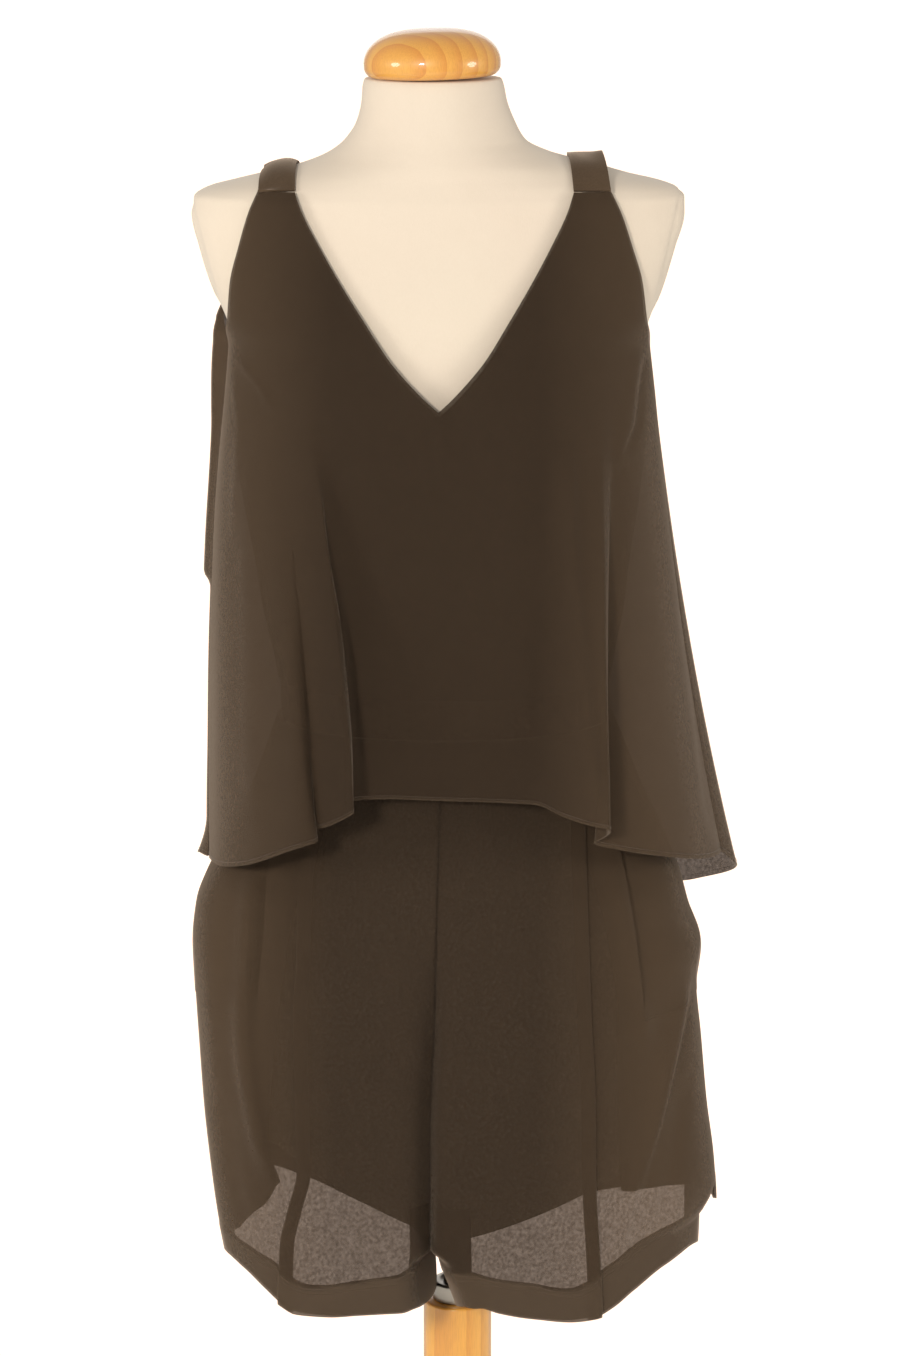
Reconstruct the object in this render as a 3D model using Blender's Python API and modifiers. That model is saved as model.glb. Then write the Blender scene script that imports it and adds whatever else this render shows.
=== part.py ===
"""A sleeveless playsuit with a loose top layer, worn by a limbless dress form on a wooden stand.

Metres, +Z up. The origin is on the floor under the centre of the round base, and the front faces -Y.
The form leans a little to -X on its stand. Every height table below is in the upright frame of the
form, and `leaned` carries its points into the frame of the part.
"""

import math
from typing import NamedTuple

import bmesh
import bpy
import numpy as np

# Driving dimensions.
BASE_RADIUS = 0.230
BASE_THICKNESS = 0.028
COLUMN_RADIUS = 0.0267
COLUMN_TOP = 0.481
TUBE_RADIUS = 0.0105
TUBE_TOP = 0.620
CLAMP_RADIUS = 0.0195
CLAMP_HEIGHT = 0.015
CAP_RADIUS = 0.0505
CAP_BOTTOM = 1.4363
CAP_HEIGHT = 0.033
CAP_WIDEST = 0.009
CAP_TILT = math.radians(1.6)
LEAN = 0.0196
SEAT_GAP = 0.0003

CLOTH = 0.0012
BAND_CLOTH = 0.0020
SEAM = 0.0003
STRAP_CLEAR = 0.0031
BODICE_LIFT = 0.0037
TOP_LIFT = BODICE_LIFT + CLOTH + 2 * SEAM
TOP_LOOSE = 0.0032
BODICE_IN = 0.0025
TOP_REST = 0.0030
TOP_SETTLE = 0.12
TOP_SIDE = ((1.2025, 0.1590, 0.1610), (1.2360, 0.1550, 0.1575))
FLARE_LEFT = 0.5
FLARE_RIGHT = 1.3
TIP_OUT = 0.0080
SIDE_BULGE = ((0.95, 0.0), (1.052, 0.0), (1.060, 0.0085), (1.118, 0.0080), (1.170, 0.0100),
              (1.2025, 0.0140), (1.236, 0.0155), (1.258, 0.0090), (1.300, 0.0))
EASE = 0.0060
EASE_TOP = 1.310
EASE_TUCK = 0.060

APEX = 1.2025
UNDERARM = 1.236
SCOOP = 1.2500
STRAP_SEAM = 1.3550
BACK_TOP = 1.3100
WAIST_TOP = 0.9850
WAIST_BOTTOM = 0.9550
CROTCH = 0.5460
POCKET_END = 0.7400
POCKET_TUCK = 0.0150
PLEAT_HEIGHT = 0.0045
BACK_SLACK = 1.6
LEG_TURN = 0.036
VENT = 0.0140
VENT_TOP = 0.590
VENT_BOTTOM = 0.562
AROUND = 44


class Ring(NamedTuple):
    """A level section: how far it reaches each way, and how square it is (2 is an ellipse)."""

    height: float
    left: float
    right: float
    front: float
    back: float
    square: float


class Edge(NamedTuple):
    """Half widths of the neckline and of the armholes at a height."""

    height: float
    neck: float
    arm: float


class Fold(NamedTuple):
    """A point of a hem: its share of the panel's width, and where it hangs."""

    share: float
    x: float
    y: float
    height: float


class Layer(NamedTuple):
    """A layer of the top half: how far it lies off the form, and how much it slackens."""

    lift: float
    loose: float
    side_in: float
    bulge: float


class Leg(NamedTuple):
    """Where the inner sides of both legs are at a height, and how far they have closed in."""

    height: float
    left: float
    right: float
    closed: float


FORM_RINGS = (
    Ring(0.565, 0.158, 0.158, 0.100, 0.098, 2.3),
    Ring(0.640, 0.167, 0.167, 0.112, 0.114, 2.3),
    Ring(0.700, 0.168, 0.168, 0.113, 0.124, 2.3),
    Ring(0.780, 0.162, 0.162, 0.110, 0.117, 2.3),
    Ring(0.860, 0.145, 0.145, 0.103, 0.099, 2.3),
    Ring(0.960, 0.121, 0.121, 0.091, 0.080, 2.2),
    Ring(1.050, 0.128, 0.128, 0.094, 0.088, 2.2),
    Ring(1.130, 0.140, 0.140, 0.100, 0.098, 2.2),
    Ring(1.190, 0.147, 0.147, 0.102, 0.103, 2.2),
    Ring(1.235, 0.150, 0.150, 0.098, 0.103, 2.2),
    Ring(1.258, 0.157, 0.159, 0.093, 0.101, 2.3),
    Ring(1.275, 0.165, 0.166, 0.088, 0.099, 2.3),
    Ring(1.310, 0.175, 0.177, 0.077, 0.092, 2.4),
    Ring(1.335, 0.180, 0.184, 0.070, 0.086, 2.4),
    Ring(1.347, 0.178, 0.184, 0.067, 0.082, 2.4),
    Ring(1.353, 0.166, 0.174, 0.065, 0.080, 2.3),
    Ring(1.359, 0.142, 0.150, 0.063, 0.078, 2.2),
    Ring(1.370, 0.100, 0.120, 0.060, 0.075, 2.1),
    Ring(1.379, 0.078, 0.086, 0.057, 0.071, 2.0),
    Ring(1.388, 0.066, 0.068, 0.054, 0.067, 2.0),
    Ring(1.402, 0.0565, 0.060, 0.051, 0.062, 2.0),
    Ring(1.417, 0.0525, 0.0545, 0.049, 0.058, 2.0),
    Ring(1.430, 0.0515, 0.0525, 0.048, 0.056, 2.0),
    Ring(1.4345, 0.0500, 0.0510, 0.047, 0.054, 2.0),
)
RIM_RISE = 0.036
RIM_FADE = 0.070
BUST_OUT = 0.015
BUST_X = 0.070
BUST_Z = 1.135
BUST_WIDE = 0.046
BUST_TALL = 0.062

FRONT_EDGES = (
    Edge(APEX, 0.0000, 0.1545),
    Edge(1.211, 0.0100, 0.1560),
    Edge(1.233, 0.0300, 0.1585),
    Edge(1.240, 0.0355, 0.1560),
    Edge(1.265, 0.0520, 0.1530),
    Edge(1.290, 0.0680, 0.1500),
    Edge(1.315, 0.0825, 0.1430),
    Edge(1.340, 0.0955, 0.1350),
    Edge(STRAP_SEAM, 0.1010, 0.1280),
)
BACK_EDGES = (
    Edge(APEX, 0.0000, 0.1545),
    Edge(SCOOP, 0.0000, 0.1560),
    Edge(1.254, 0.0300, 0.1570),
    Edge(1.270, 0.0620, 0.1530),
    Edge(1.290, 0.0850, 0.1400),
    Edge(BACK_TOP, 0.1010, 0.1280),
)

FRONT_OVER = (STRAP_SEAM, 1.348, 1.335, 1.315, 1.290, 1.265, 1.245, UNDERARM, 1.222)
BACK_OVER = (BACK_TOP, 1.290, 1.270, 1.254)
BACK_UNDER = (UNDERARM, 1.220, APEX)

BODICE_LAYER = Layer(BODICE_LIFT, 0.0, BODICE_IN, 0.0)
TOP_LAYER = Layer(TOP_LIFT, TOP_LOOSE, 0.0, 1.0)

FRONT_HEM = (
    Fold(-1.00, -0.184, -0.001, 0.841),
    Fold(-0.93, -0.172, -0.060, 0.850),
    Fold(-0.80, -0.144, -0.120, 0.868),
    Fold(-0.66, -0.118, -0.150, 0.885),
    Fold(-0.58, -0.100, -0.163, 0.894),
    Fold(-0.53, -0.094, -0.157, 0.896),
    Fold(-0.49, -0.099, -0.149, 0.900),
    Fold(-0.44, -0.086, -0.159, 0.908),
    Fold(-0.38, -0.067, -0.167, 0.921),
    Fold(-0.35, -0.069, -0.150, 0.921),
    Fold(-0.30, -0.058, -0.133, 0.920),
    Fold(0.00, -0.004, -0.128, 0.918),
    Fold(0.30, 0.066, -0.132, 0.916),
    Fold(0.39, 0.083, -0.148, 0.912),
    Fold(0.47, 0.106, -0.163, 0.908),
    Fold(0.50, 0.118, -0.164, 0.905),
    Fold(0.53, 0.117, -0.149, 0.898),
    Fold(0.57, 0.108, -0.135, 0.888),
    Fold(0.66, 0.127, -0.129, 0.881),
    Fold(0.80, 0.154, -0.115, 0.873),
    Fold(0.90, 0.182, -0.084, 0.862),
    Fold(0.97, 0.203, -0.034, 0.850),
    Fold(1.00, 0.210, -0.001, 0.845),
)
BACK_HEM = (
    Fold(-1.00, 0.210, 0.001, 0.845),
    Fold(-0.93, 0.224, 0.036, 0.824),
    Fold(-0.88, 0.224, 0.062, 0.814),
    Fold(-0.78, 0.205, 0.097, 0.798),
    Fold(-0.66, 0.184, 0.126, 0.786),
    Fold(-0.50, 0.140, 0.150, 0.780),
    Fold(-0.34, 0.095, 0.172, 0.777),
    Fold(-0.18, 0.048, 0.150, 0.775),
    Fold(0.00, 0.000, 0.170, 0.774),
    Fold(0.18, -0.048, 0.150, 0.775),
    Fold(0.36, -0.092, 0.168, 0.777),
    Fold(0.55, -0.130, 0.146, 0.783),
    Fold(0.74, -0.158, 0.112, 0.795),
    Fold(0.90, -0.179, 0.058, 0.820),
    Fold(0.97, -0.186, 0.016, 0.840),
    Fold(1.00, -0.184, 0.001, 0.841),
)

SHORTS_RINGS = (
    Ring(0.470, 0.172, 0.196, 0.112, 0.072, 2.4),
    Ring(0.520, 0.180, 0.202, 0.120, 0.086, 2.4),
    Ring(0.560, 0.186, 0.204, 0.125, 0.104, 2.4),
    Ring(0.600, 0.190, 0.202, 0.127, 0.117, 2.4),
    Ring(0.648, 0.1935, 0.1965, 0.128, 0.126, 2.4),
    Ring(0.700, 0.1955, 0.1925, 0.128, 0.133, 2.4),
    Ring(0.745, 0.1970, 0.1890, 0.128, 0.135, 2.4),
    Ring(0.775, 0.1975, 0.1900, 0.127, 0.135, 2.4),
    Ring(0.806, 0.1940, 0.1830, 0.125, 0.131, 2.4),
    Ring(0.830, 0.1850, 0.1770, 0.122, 0.125, 2.4),
    Ring(0.850, 0.1730, 0.1700, 0.118, 0.119, 2.3),
    Ring(0.900, 0.1480, 0.1480, 0.107, 0.103, 2.3),
    Ring(WAIST_BOTTOM - SEAM, 0.1265, 0.1265, 0.0965, 0.0860, 2.2),
)
LEGS = (
    Leg(0.470, -0.0250, -0.0150, 1.00),
    Leg(0.505, -0.0225, -0.0140, 1.00),
    Leg(CROTCH, -0.0198, -0.0180, 1.00),
    Leg(0.5485, -0.0198, -0.0180, 0.90),
    Leg(0.5530, -0.0198, -0.0180, 0.60),
    Leg(0.5580, -0.0198, -0.0180, 0.32),
    Leg(0.5640, -0.0196, -0.0178, 0.18),
    Leg(0.600, -0.0190, -0.0172, 0.14),
    Leg(0.660, -0.0179, -0.0161, 0.08),
    Leg(0.740, -0.0122, -0.0118, 0.00),
    Leg(0.840, -0.0082, -0.0078, 0.00),
    Leg(WAIST_BOTTOM, -0.0022, -0.0018, 0.00),
)
POCKET_LINE = ((0.735, 0.146), (0.790, 0.142), (0.834, 0.137), (0.860, 0.130), (0.955, 0.085))
PLEAT_LINE = ((0.510, 0.112), (0.620, 0.110), (0.740, 0.108), (0.830, 0.106), (0.955, 0.060))
LEG_HEM_FRONT = ((0.0, 0.504), (0.15, 0.512), (0.50, 0.507), (0.60, 0.508), (0.65, 0.512), (0.70, 0.519),
                 (0.77, 0.529), (0.86, 0.533), (1.0, 0.527))
LEG_HEM_BACK = ((0.0, 0.504), (0.20, 0.509), (0.38, 0.522), (0.58, 0.540), (0.72, 0.549), (0.87, 0.545),
                (1.0, 0.527))
VENT_HEM_BACK = ((0.0, 0.504), (0.20, 0.509), (0.38, 0.522), (0.58, 0.540), (0.72, 0.550), (0.87, 0.558),
                 (1.0, 0.563))
LEG_SQUEEZE = 0.605
LEG_LEAST = 0.008

COLOURS = {
    "cloth": (0.045, 0.030, 0.020),
    "jersey": (0.880, 0.820, 0.700),
    "wood": (0.720, 0.400, 0.160),
    "metal": (0.620, 0.600, 0.560),
}


def curve_through(keys, values):
    """Return a function that follows the rows of a table smoothly and never overshoots them."""
    keys = np.asarray(keys, float)
    values = np.asarray(values, float)
    steps = np.diff(keys)
    slopes = np.diff(values) / steps
    tangents = np.concatenate(([slopes[0]], np.zeros(len(keys) - 2), [slopes[-1]]))
    for i in range(1, len(keys) - 1):
        if slopes[i - 1] * slopes[i] > 0:
            tangents[i] = 2 / (1 / slopes[i - 1] + 1 / slopes[i])

    def at(key):
        i = min(max(int(np.searchsorted(keys, key)) - 1, 0), len(steps) - 1)
        t = min(max((key - keys[i]) / steps[i], 0.0), 1.0)
        start = (1 + 2 * t) * (1 - t) ** 2 * values[i] + t * (1 - t) ** 2 * steps[i] * tangents[i]
        end = t * t * (3 - 2 * t) * values[i + 1] - t * t * (1 - t) * steps[i] * tangents[i + 1]
        return float(start + end)

    return at


def table_curves(rows):
    """Return one smooth curve for each column of a table after its first, the key."""
    columns = list(zip(*rows))
    return [curve_through(columns[0], column) for column in columns[1:]]


def ring_curve(rows):
    """Return a function that gives the Ring at any height of a table of rings."""
    curves = table_curves(rows)
    return lambda height: Ring(height, *(curve(height) for curve in curves))


form_ring = ring_curve(FORM_RINGS)
shorts_ring = ring_curve(SHORTS_RINGS)
front_neck, front_arm = table_curves(FRONT_EDGES)
back_neck, back_arm = table_curves(BACK_EDGES)
front_hem = table_curves(FRONT_HEM)
back_hem = table_curves(BACK_HEM)
leg_left, leg_right, leg_closed = table_curves(LEGS)
top_sides = table_curves(TOP_SIDE)
(hem_front,) = table_curves(LEG_HEM_FRONT)
(hem_back,) = table_curves(LEG_HEM_BACK)
(hem_vent,) = table_curves(VENT_HEM_BACK)
(bulge_curve,) = table_curves(SIDE_BULGE)
(pocket_line,) = table_curves(POCKET_LINE)
(pleat_line,) = table_curves(PLEAT_LINE)


def grown(ring, lift):
    """Return a ring that lies `lift` outside another."""
    return Ring(ring.height, ring.left + lift, ring.right + lift, ring.front + lift,
                ring.back + lift, ring.square)


def leaned(x, y, z):
    """Carry a point of the upright form into the frame of the part."""
    return (x - LEAN * (z - COLUMN_TOP), y, z)


def bust(x, z):
    """Return how far the bust stands forward of the plain section."""
    across = ((abs(x) - BUST_X) / BUST_WIDE) ** 2
    along = ((z - BUST_Z) / BUST_TALL) ** 2
    return BUST_OUT * math.exp(-across - along)


def rounded(share, square):
    """Return the depth left, 0 to 1, at a share of the half width of a section."""
    return max(1 - min(abs(share), 1.0) ** square, 0.0) ** (1 / square)


def ring_point(ring, angle):
    """Return (x, y) on a ring. Angle 0 is the front, and it grows towards +X."""
    across, along = math.sin(angle), math.cos(angle)
    half = ring.right if across > 0 else ring.left
    x = math.copysign(half * abs(across) ** (2 / ring.square), across)
    depth = ring.front if along > 0 else ring.back
    y = -math.copysign(depth * abs(along) ** (2 / ring.square), along)
    if along > 0:
        y -= bust(x, ring.height) * math.sqrt(along)
    return x, y


def depth_at(ring, x, facing):
    """Return y on the front (-1) or back (+1) of a ring at a given x."""
    half = ring.right if x > 0 else ring.left
    left_over = rounded(x / half, ring.square)
    if facing > 0:
        return ring.back * left_over
    return -ring.front * left_over - bust(x, ring.height) * math.sqrt(left_over)


def ease(z):
    """Return how much further a top stands off the body, growing from the chest to the waist."""
    falls = min(max((EASE_TOP - z) / (EASE_TOP - APEX), 0.0), 1.0)
    tucked = min(max((z - WAIST_TOP) / EASE_TUCK, 0.0), 1.0)
    return EASE * falls * tucked


def make_material(name, roughness, metallic=0.0):
    """Return a Principled material in one of the named colours."""
    material = bpy.data.materials.new(name)
    material.use_nodes = True
    shader = material.node_tree.nodes["Principled BSDF"]
    shader.inputs["Base Color"].default_value = (*COLOURS[name.split("_")[-1]], 1.0)
    shader.inputs["Roughness"].default_value = roughness
    shader.inputs["Metallic"].default_value = metallic
    return material


def make_object(name, mesh, material):
    """Link a mesh as a named, smooth-shaded object with its own material."""
    mesh.materials.append(material)
    mesh.shade_smooth()
    mesh.set_sharp_from_angle(angle=math.radians(40))
    thing = bpy.data.objects.new(name, mesh)
    parts.objects.link(thing)
    return thing


def cloth_panel(name, grids, thickness=CLOTH, closed=False):
    """Make one cloth piece from grids of mid-surface points, given its wall by Solidify.

    Each grid is a list of rows of points, top row first. Grids that share points are joined there.
    """
    shape = bmesh.new()
    for grid in grids:
        rows = [[shape.verts.new(point) for point in row] for row in grid]
        for upper, lower in zip(rows, rows[1:]):
            count = len(upper) if closed else len(upper) - 1
            for i in range(count):
                j = (i + 1) % len(upper)
                shape.faces.new((upper[i], lower[i], lower[j], upper[j]))
    bmesh.ops.remove_doubles(shape, verts=shape.verts, dist=1e-6)
    mesh = bpy.data.meshes.new(name)
    shape.to_mesh(mesh)
    shape.free()
    panel = make_object(name, mesh, make_material(f"{name}_cloth", 0.85))
    wall = panel.modifiers.new("Wall", "SOLIDIFY")
    wall.thickness = thickness
    wall.offset = 0.0
    return panel


def turned(name, profile, centre, material, steps=48):
    """Make a solid of revolution from (radius, height) points, listed from the top down."""
    mesh = bpy.data.meshes.new(name)
    points = [(radius, 0.0, height) for radius, height in profile]
    links = [(i, i + 1) for i in range(len(points) - 1)]
    if points[0][0] > 0:
        links.append((len(points) - 1, 0))
    mesh.from_pydata(points, links, [])
    thing = make_object(name, mesh, material)
    screw = thing.modifiers.new("Turn", "SCREW")
    screw.steps = screw.render_steps = steps
    screw.use_merge_vertices = True
    screw.merge_threshold = 0.00005
    thing.location = centre
    return thing


def make_stand():
    """Build the round base, the wooden column, the tube that carries the form and its clamp."""
    edge = BASE_THICKNESS / 4
    base_profile = ((0.0, BASE_THICKNESS), (BASE_RADIUS - edge, BASE_THICKNESS),
                    (BASE_RADIUS, BASE_THICKNESS - edge), (BASE_RADIUS, edge / 2),
                    (BASE_RADIUS - edge / 2, 0.0), (0.0, 0.0))
    turned("stand_base", base_profile, (0, 0, 0), make_material("base_wood", 0.35), steps=64)
    bevel = 0.0015
    foot = BASE_THICKNESS + SEAT_GAP
    column_profile = ((0.0, COLUMN_TOP), (COLUMN_RADIUS - bevel, COLUMN_TOP),
                      (COLUMN_RADIUS, COLUMN_TOP - bevel), (COLUMN_RADIUS, foot), (0.0, foot))
    turned("stand_column", column_profile, (0, 0, 0), make_material("column_wood", 0.3))
    clamp_bottom = COLUMN_TOP + SEAT_GAP
    clamp_top = clamp_bottom + CLAMP_HEIGHT
    inner = TUBE_RADIUS + SEAT_GAP
    clamp_profile = ((inner, clamp_top), (CLAMP_RADIUS - bevel, clamp_top),
                     (CLAMP_RADIUS, clamp_top - bevel), (CLAMP_RADIUS, clamp_bottom),
                     (inner, clamp_bottom))
    turned("stand_clamp", clamp_profile, (0, 0, 0), make_material("clamp_metal", 0.4, 1.0), 32)
    tube_profile = ((0.0, TUBE_TOP), (TUBE_RADIUS, TUBE_TOP), (TUBE_RADIUS, clamp_bottom),
                    (0.0, clamp_bottom))
    turned("stand_tube", tube_profile, (0, 0, 0), make_material("tube_metal", 0.3, 1.0), 32)


def make_form(around=AROUND):
    """Build the solid torso, from the bore for the tube, over its V-shaped bottom, to the neck."""
    angles = [math.tau * i / around for i in range(around)]
    bore = TUBE_RADIUS + 2 * SEAT_GAP
    bore_top = TUBE_TOP + SEAT_GAP
    bottom = FORM_RINGS[0].height

    def circle(radius, height):
        return [(radius * math.sin(a), -radius * math.cos(a), height) for a in angles]

    def level(height):
        ring = form_ring(height)
        rise = RIM_RISE * max(0.0, 1 - (height - bottom) / RIM_FADE)
        points = [ring_point(ring, angle) for angle in angles]
        return [leaned(x, y, height + rise * abs(x) / ring.left) for x, y in points]

    def under(share):
        rim = level(bottom)
        hole = circle(bore, bottom - 0.001)
        return [tuple(np.array(r) * share + np.array(h) * (1 - share)) for r, h in zip(rim, hole)]

    heights = [bottom, 0.59, 0.615, 0.64, 0.67, 0.70, 0.74, 0.78, 0.82, 0.86, 0.91, 0.955, 0.985,
               1.015, 1.05, 1.09, 1.13, 1.16, 1.19, 1.215, 1.24, 1.258, 1.275, 1.292, 1.31, 1.323, 1.335,
               1.342, 1.347, 1.350, 1.353, 1.356, 1.359, 1.364, 1.370, 1.3745, 1.379, 1.388,
               1.402, 1.417, 1.430, 1.4345]
    rows = [circle(bore, bore_top), circle(bore, bottom - 0.001), under(0.5)]
    rows += [level(height) for height in heights]
    shape = bmesh.new()
    loops = [[shape.verts.new(point) for point in row] for row in rows]
    for lower, upper in zip(loops, loops[1:]):
        for i in range(around):
            j = (i + 1) % around
            shape.faces.new((lower[i], lower[j], upper[j], upper[i]))
    shape.faces.new(loops[-1])
    shape.faces.new(list(reversed(loops[0])))
    mesh = bpy.data.meshes.new("form_torso")
    shape.to_mesh(mesh)
    shape.free()
    make_object("form_torso", mesh, make_material("torso_jersey", 0.9))


def make_cap():
    """Build the turned wooden cap on the neck."""
    dome = [(CAP_RADIUS * math.cos(a) ** 0.62, CAP_WIDEST + (CAP_HEIGHT - CAP_WIDEST) * math.sin(a))
            for a in np.linspace(math.pi / 2, 0, 12)]
    dome[0] = (0.0, CAP_HEIGHT)
    profile = [*dome, (CAP_RADIUS - 0.003, 0.0015), (CAP_RADIUS - 0.006, 0.0), (0.0, 0.0)]
    centre = leaned(0.0005, -0.0035, CAP_BOTTOM)
    cap = turned("neck_cap", profile, centre, make_material("cap_wood", 0.25), steps=40)
    cap.rotation_euler = (0.0, -CAP_TILT, 0.0)


def chest_point(share, z, facing, layer):
    """Return a point over the chest or the shoulder blades, where a top's edges bound it.

    Share runs from -1 at the left edge to +1 at the right edge, and 0 is the neckline or centre.
    """
    slack = layer.loose * math.sin(math.pi * abs(share))
    ring = grown(form_ring(z), layer.lift + slack + ease(z))
    if APEX <= z <= UNDERARM:
        left, right = (side(z) - layer.side_in for side in top_sides)
        ring = ring._replace(left=left, right=right)
    neck, arm = (front_neck, front_arm) if facing < 0 else (back_neck, back_arm)
    half = ring.right if share > 0 else ring.left
    outer = half if z <= UNDERARM else min(arm(z), half) - layer.side_in / 2
    reach = abs(math.sin(share * math.pi / 2)) ** (2 / ring.square)
    x = math.copysign(neck(z) + (outer - neck(z)) * reach, share)
    y = depth_at(ring, x, facing)
    if facing > 0:
        x -= layer.bulge * side_bulge(share, z)
    return x, y


def top_point(share, drop, facing):
    """Return a mid-surface point of the loose top below the point of its neckline.

    Drop runs from 0 there to 1 at the hem.
    """
    x_hem, y_hem, z_hem = (curve(share) for curve in (front_hem if facing < 0 else back_hem))
    across = share if facing < 0 else -share
    x_top, y_top = chest_point(across, APEX, facing, TOP_LAYER)
    spread = drop ** (FLARE_LEFT + (FLARE_RIGHT - FLARE_LEFT) * (across + 1) / 2)
    z = APEX + (z_hem - APEX) * drop
    x = x_top + (x_hem - x_top) * spread
    y = y_top + (y_hem - y_top) * spread
    if abs(share) == 1:
        return leaned(x, facing * SEAM, z)
    if z > WAIST_BOTTOM:
        under = grown(form_ring(z), BODICE_LIFT + ease(z) + TOP_REST * min(drop / TOP_SETTLE, 1.0))
        if abs(x) < min(under.left, under.right):
            y = facing * max(abs(y), abs(depth_at(under, x, facing)))
    if facing > 0:
        x -= side_bulge(across, z) - side_bulge(across, APEX) * (1 - spread)
        tip = max(drop - 0.92, 0.0) / 0.08 * max(1 - abs(across + 0.96) / 0.06, 0.0)
        x -= TIP_OUT * tip ** 1.5
    return leaned(x, y, z)


def side_bulge(across, z):
    """Return how far the back stands out to the left behind its side seam, under the arm."""
    if across == -1 and z <= UNDERARM:
        return 0.0
    return bulge_curve(z) * math.exp(-((across + 0.92) / 0.11) ** 2)


def upper_rows(facing, layer, shares, heights):
    """Return the rows of a top above the point of its neckline, for one half or for both."""
    rows = []
    for z in heights:
        row = []
        for share in shares:
            x, y = chest_point(share, z, facing, layer)
            if abs(share) == 1 and z <= UNDERARM:
                y = facing * SEAM
            row.append(leaned(x, y, z))
        rows.append(row)
    return rows


def make_top():
    """Build the loose top: a V-necked front and a back, both cut wide and falling in folds."""
    outer = [-1.0, -0.93, -0.80, -0.66, -0.58, -0.53, -0.49, -0.44, -0.38, -0.35, -0.30]
    left = [*outer, -0.20, -0.10, -1e-9]
    right = [1e-9, 0.10, 0.20, 0.30, 0.39, 0.47, 0.50, 0.53, 0.57, 0.66, 0.80, 0.90, 0.97, 1.0]
    over = [*FRONT_OVER, APEX]
    drops = [0.0, 0.12, 0.25, 0.4, 0.55, 0.7, 0.85, 1.0]
    grids = [upper_rows(-1, TOP_LAYER, side, over) for side in (left, right)]
    grids.append([[top_point(s, d, -1) for s in left + right[1:]] for d in drops])
    cloth_panel("top_front", grids)
    wide = sorted({-fold.share for fold in BACK_HEM} | {0.09, -0.09, 0.27, -0.27})
    halves = [[s for s in wide if s < 0] + [-1e-9], [1e-9] + [s for s in wide if s > 0]]
    grids = [upper_rows(1, TOP_LAYER, half, [*BACK_OVER, SCOOP]) for half in halves]
    both = halves[0] + halves[1][1:]
    grids.append(upper_rows(1, TOP_LAYER, both, [SCOOP, *BACK_UNDER]))
    behind = [0.0, 0.12, 0.25, 0.37, 0.395, 0.55, 0.70, 0.85, 0.93, 1.0]
    grids.append([[top_point(-s, d, 1) for s in both] for d in behind])
    cloth_panel("top_back", grids)


def make_bodice():
    """Build the close under-bodice, which carries the shorts from the same neck and armholes."""
    side = [0.15, 0.28, 0.40, 0.52, 0.64, 0.76, 0.88, 1.0]
    left, right = [-s for s in reversed(side)] + [-1e-9], [1e-9] + side
    below = [1.165, 1.13, 1.09, 1.04, WAIST_TOP + SEAM]
    for name, facing, over, under in (
        ("bodice_front", -1, [*FRONT_OVER, APEX], [APEX, *below]),
        ("bodice_back", 1, [*BACK_OVER, SCOOP], [SCOOP, *BACK_UNDER, *below]),
    ):
        grids = [upper_rows(facing, BODICE_LAYER, half, over) for half in (left, right)]
        grids.append(upper_rows(facing, BODICE_LAYER, left + right[1:], under))
        cloth_panel(name, grids)


def shoulder_height(x, y):
    """Return the height of the form's shoulder at a place seen from above."""
    low, high = BACK_TOP - 0.06, FORM_RINGS[-1].height
    for _ in range(24):
        z = (low + high) / 2
        if abs(depth_at(form_ring(z), x, math.copysign(1, y))) > abs(y):
            low = z
        else:
            high = z
    return low


def make_straps():
    """Build both shoulder straps. Each stands a little proud of the shoulder that it crosses."""
    inner, outer = FRONT_EDGES[-1].neck, FRONT_EDGES[-1].arm
    centre, half = (inner + outer) / 2, (outer - inner) / 2
    front_y = depth_at(grown(form_ring(STRAP_SEAM), TOP_LIFT), centre, -1)
    back_y = depth_at(grown(form_ring(BACK_TOP), TOP_LIFT), centre, 1)
    across = (-1, -0.5, 0, 0.5, 1)
    places = (-0.050, -0.036, -0.020, 0.0001, 0.022, 0.042, 0.057, 0.067, 0.0735, 0.0775)
    for name, side, crown, narrow in (("strap_left", -1, 0.0025, 0.80), ("strap_right", 1, 0.0, 1.0)):
        route = [(front_y, STRAP_SEAM + 4 * SEAM, half)]
        for i, y in enumerate(places):
            middle = math.sin(math.pi * (i + 1) / (len(places) + 1))
            width = half * (1 - (1 - narrow) * middle)
            rest = max(shoulder_height(side * centre + k * width, y) for k in across)
            route.append((y, rest + STRAP_CLEAR, width))
        route.append((back_y, BACK_TOP + 2 * SEAM, half))
        rows = []
        for i, (y, z, width) in enumerate(route):
            lift = crown * math.sin(math.pi * i / (len(route) - 1))
            rows.append([leaned(side * centre + k * width, y, z + lift * (1 - k * k))
                         for k in across])
        cloth_panel(name, [rows])


def make_waistband(around=AROUND):
    """Build the elastic casing at the waist, a ring that grips the form."""
    rows = []
    for z in (WAIST_TOP, (WAIST_TOP + WAIST_BOTTOM) / 2, WAIST_BOTTOM):
        ring = grown(form_ring(z), SEAT_GAP + BAND_CLOTH / 2 + 0.0004)
        points = [ring_point(ring, math.tau * i / around) for i in range(around)]
        rows.append([leaned(x, y, z) for x, y in points])
    cloth_panel("waistband", [rows], BAND_CLOTH, closed=True)


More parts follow.
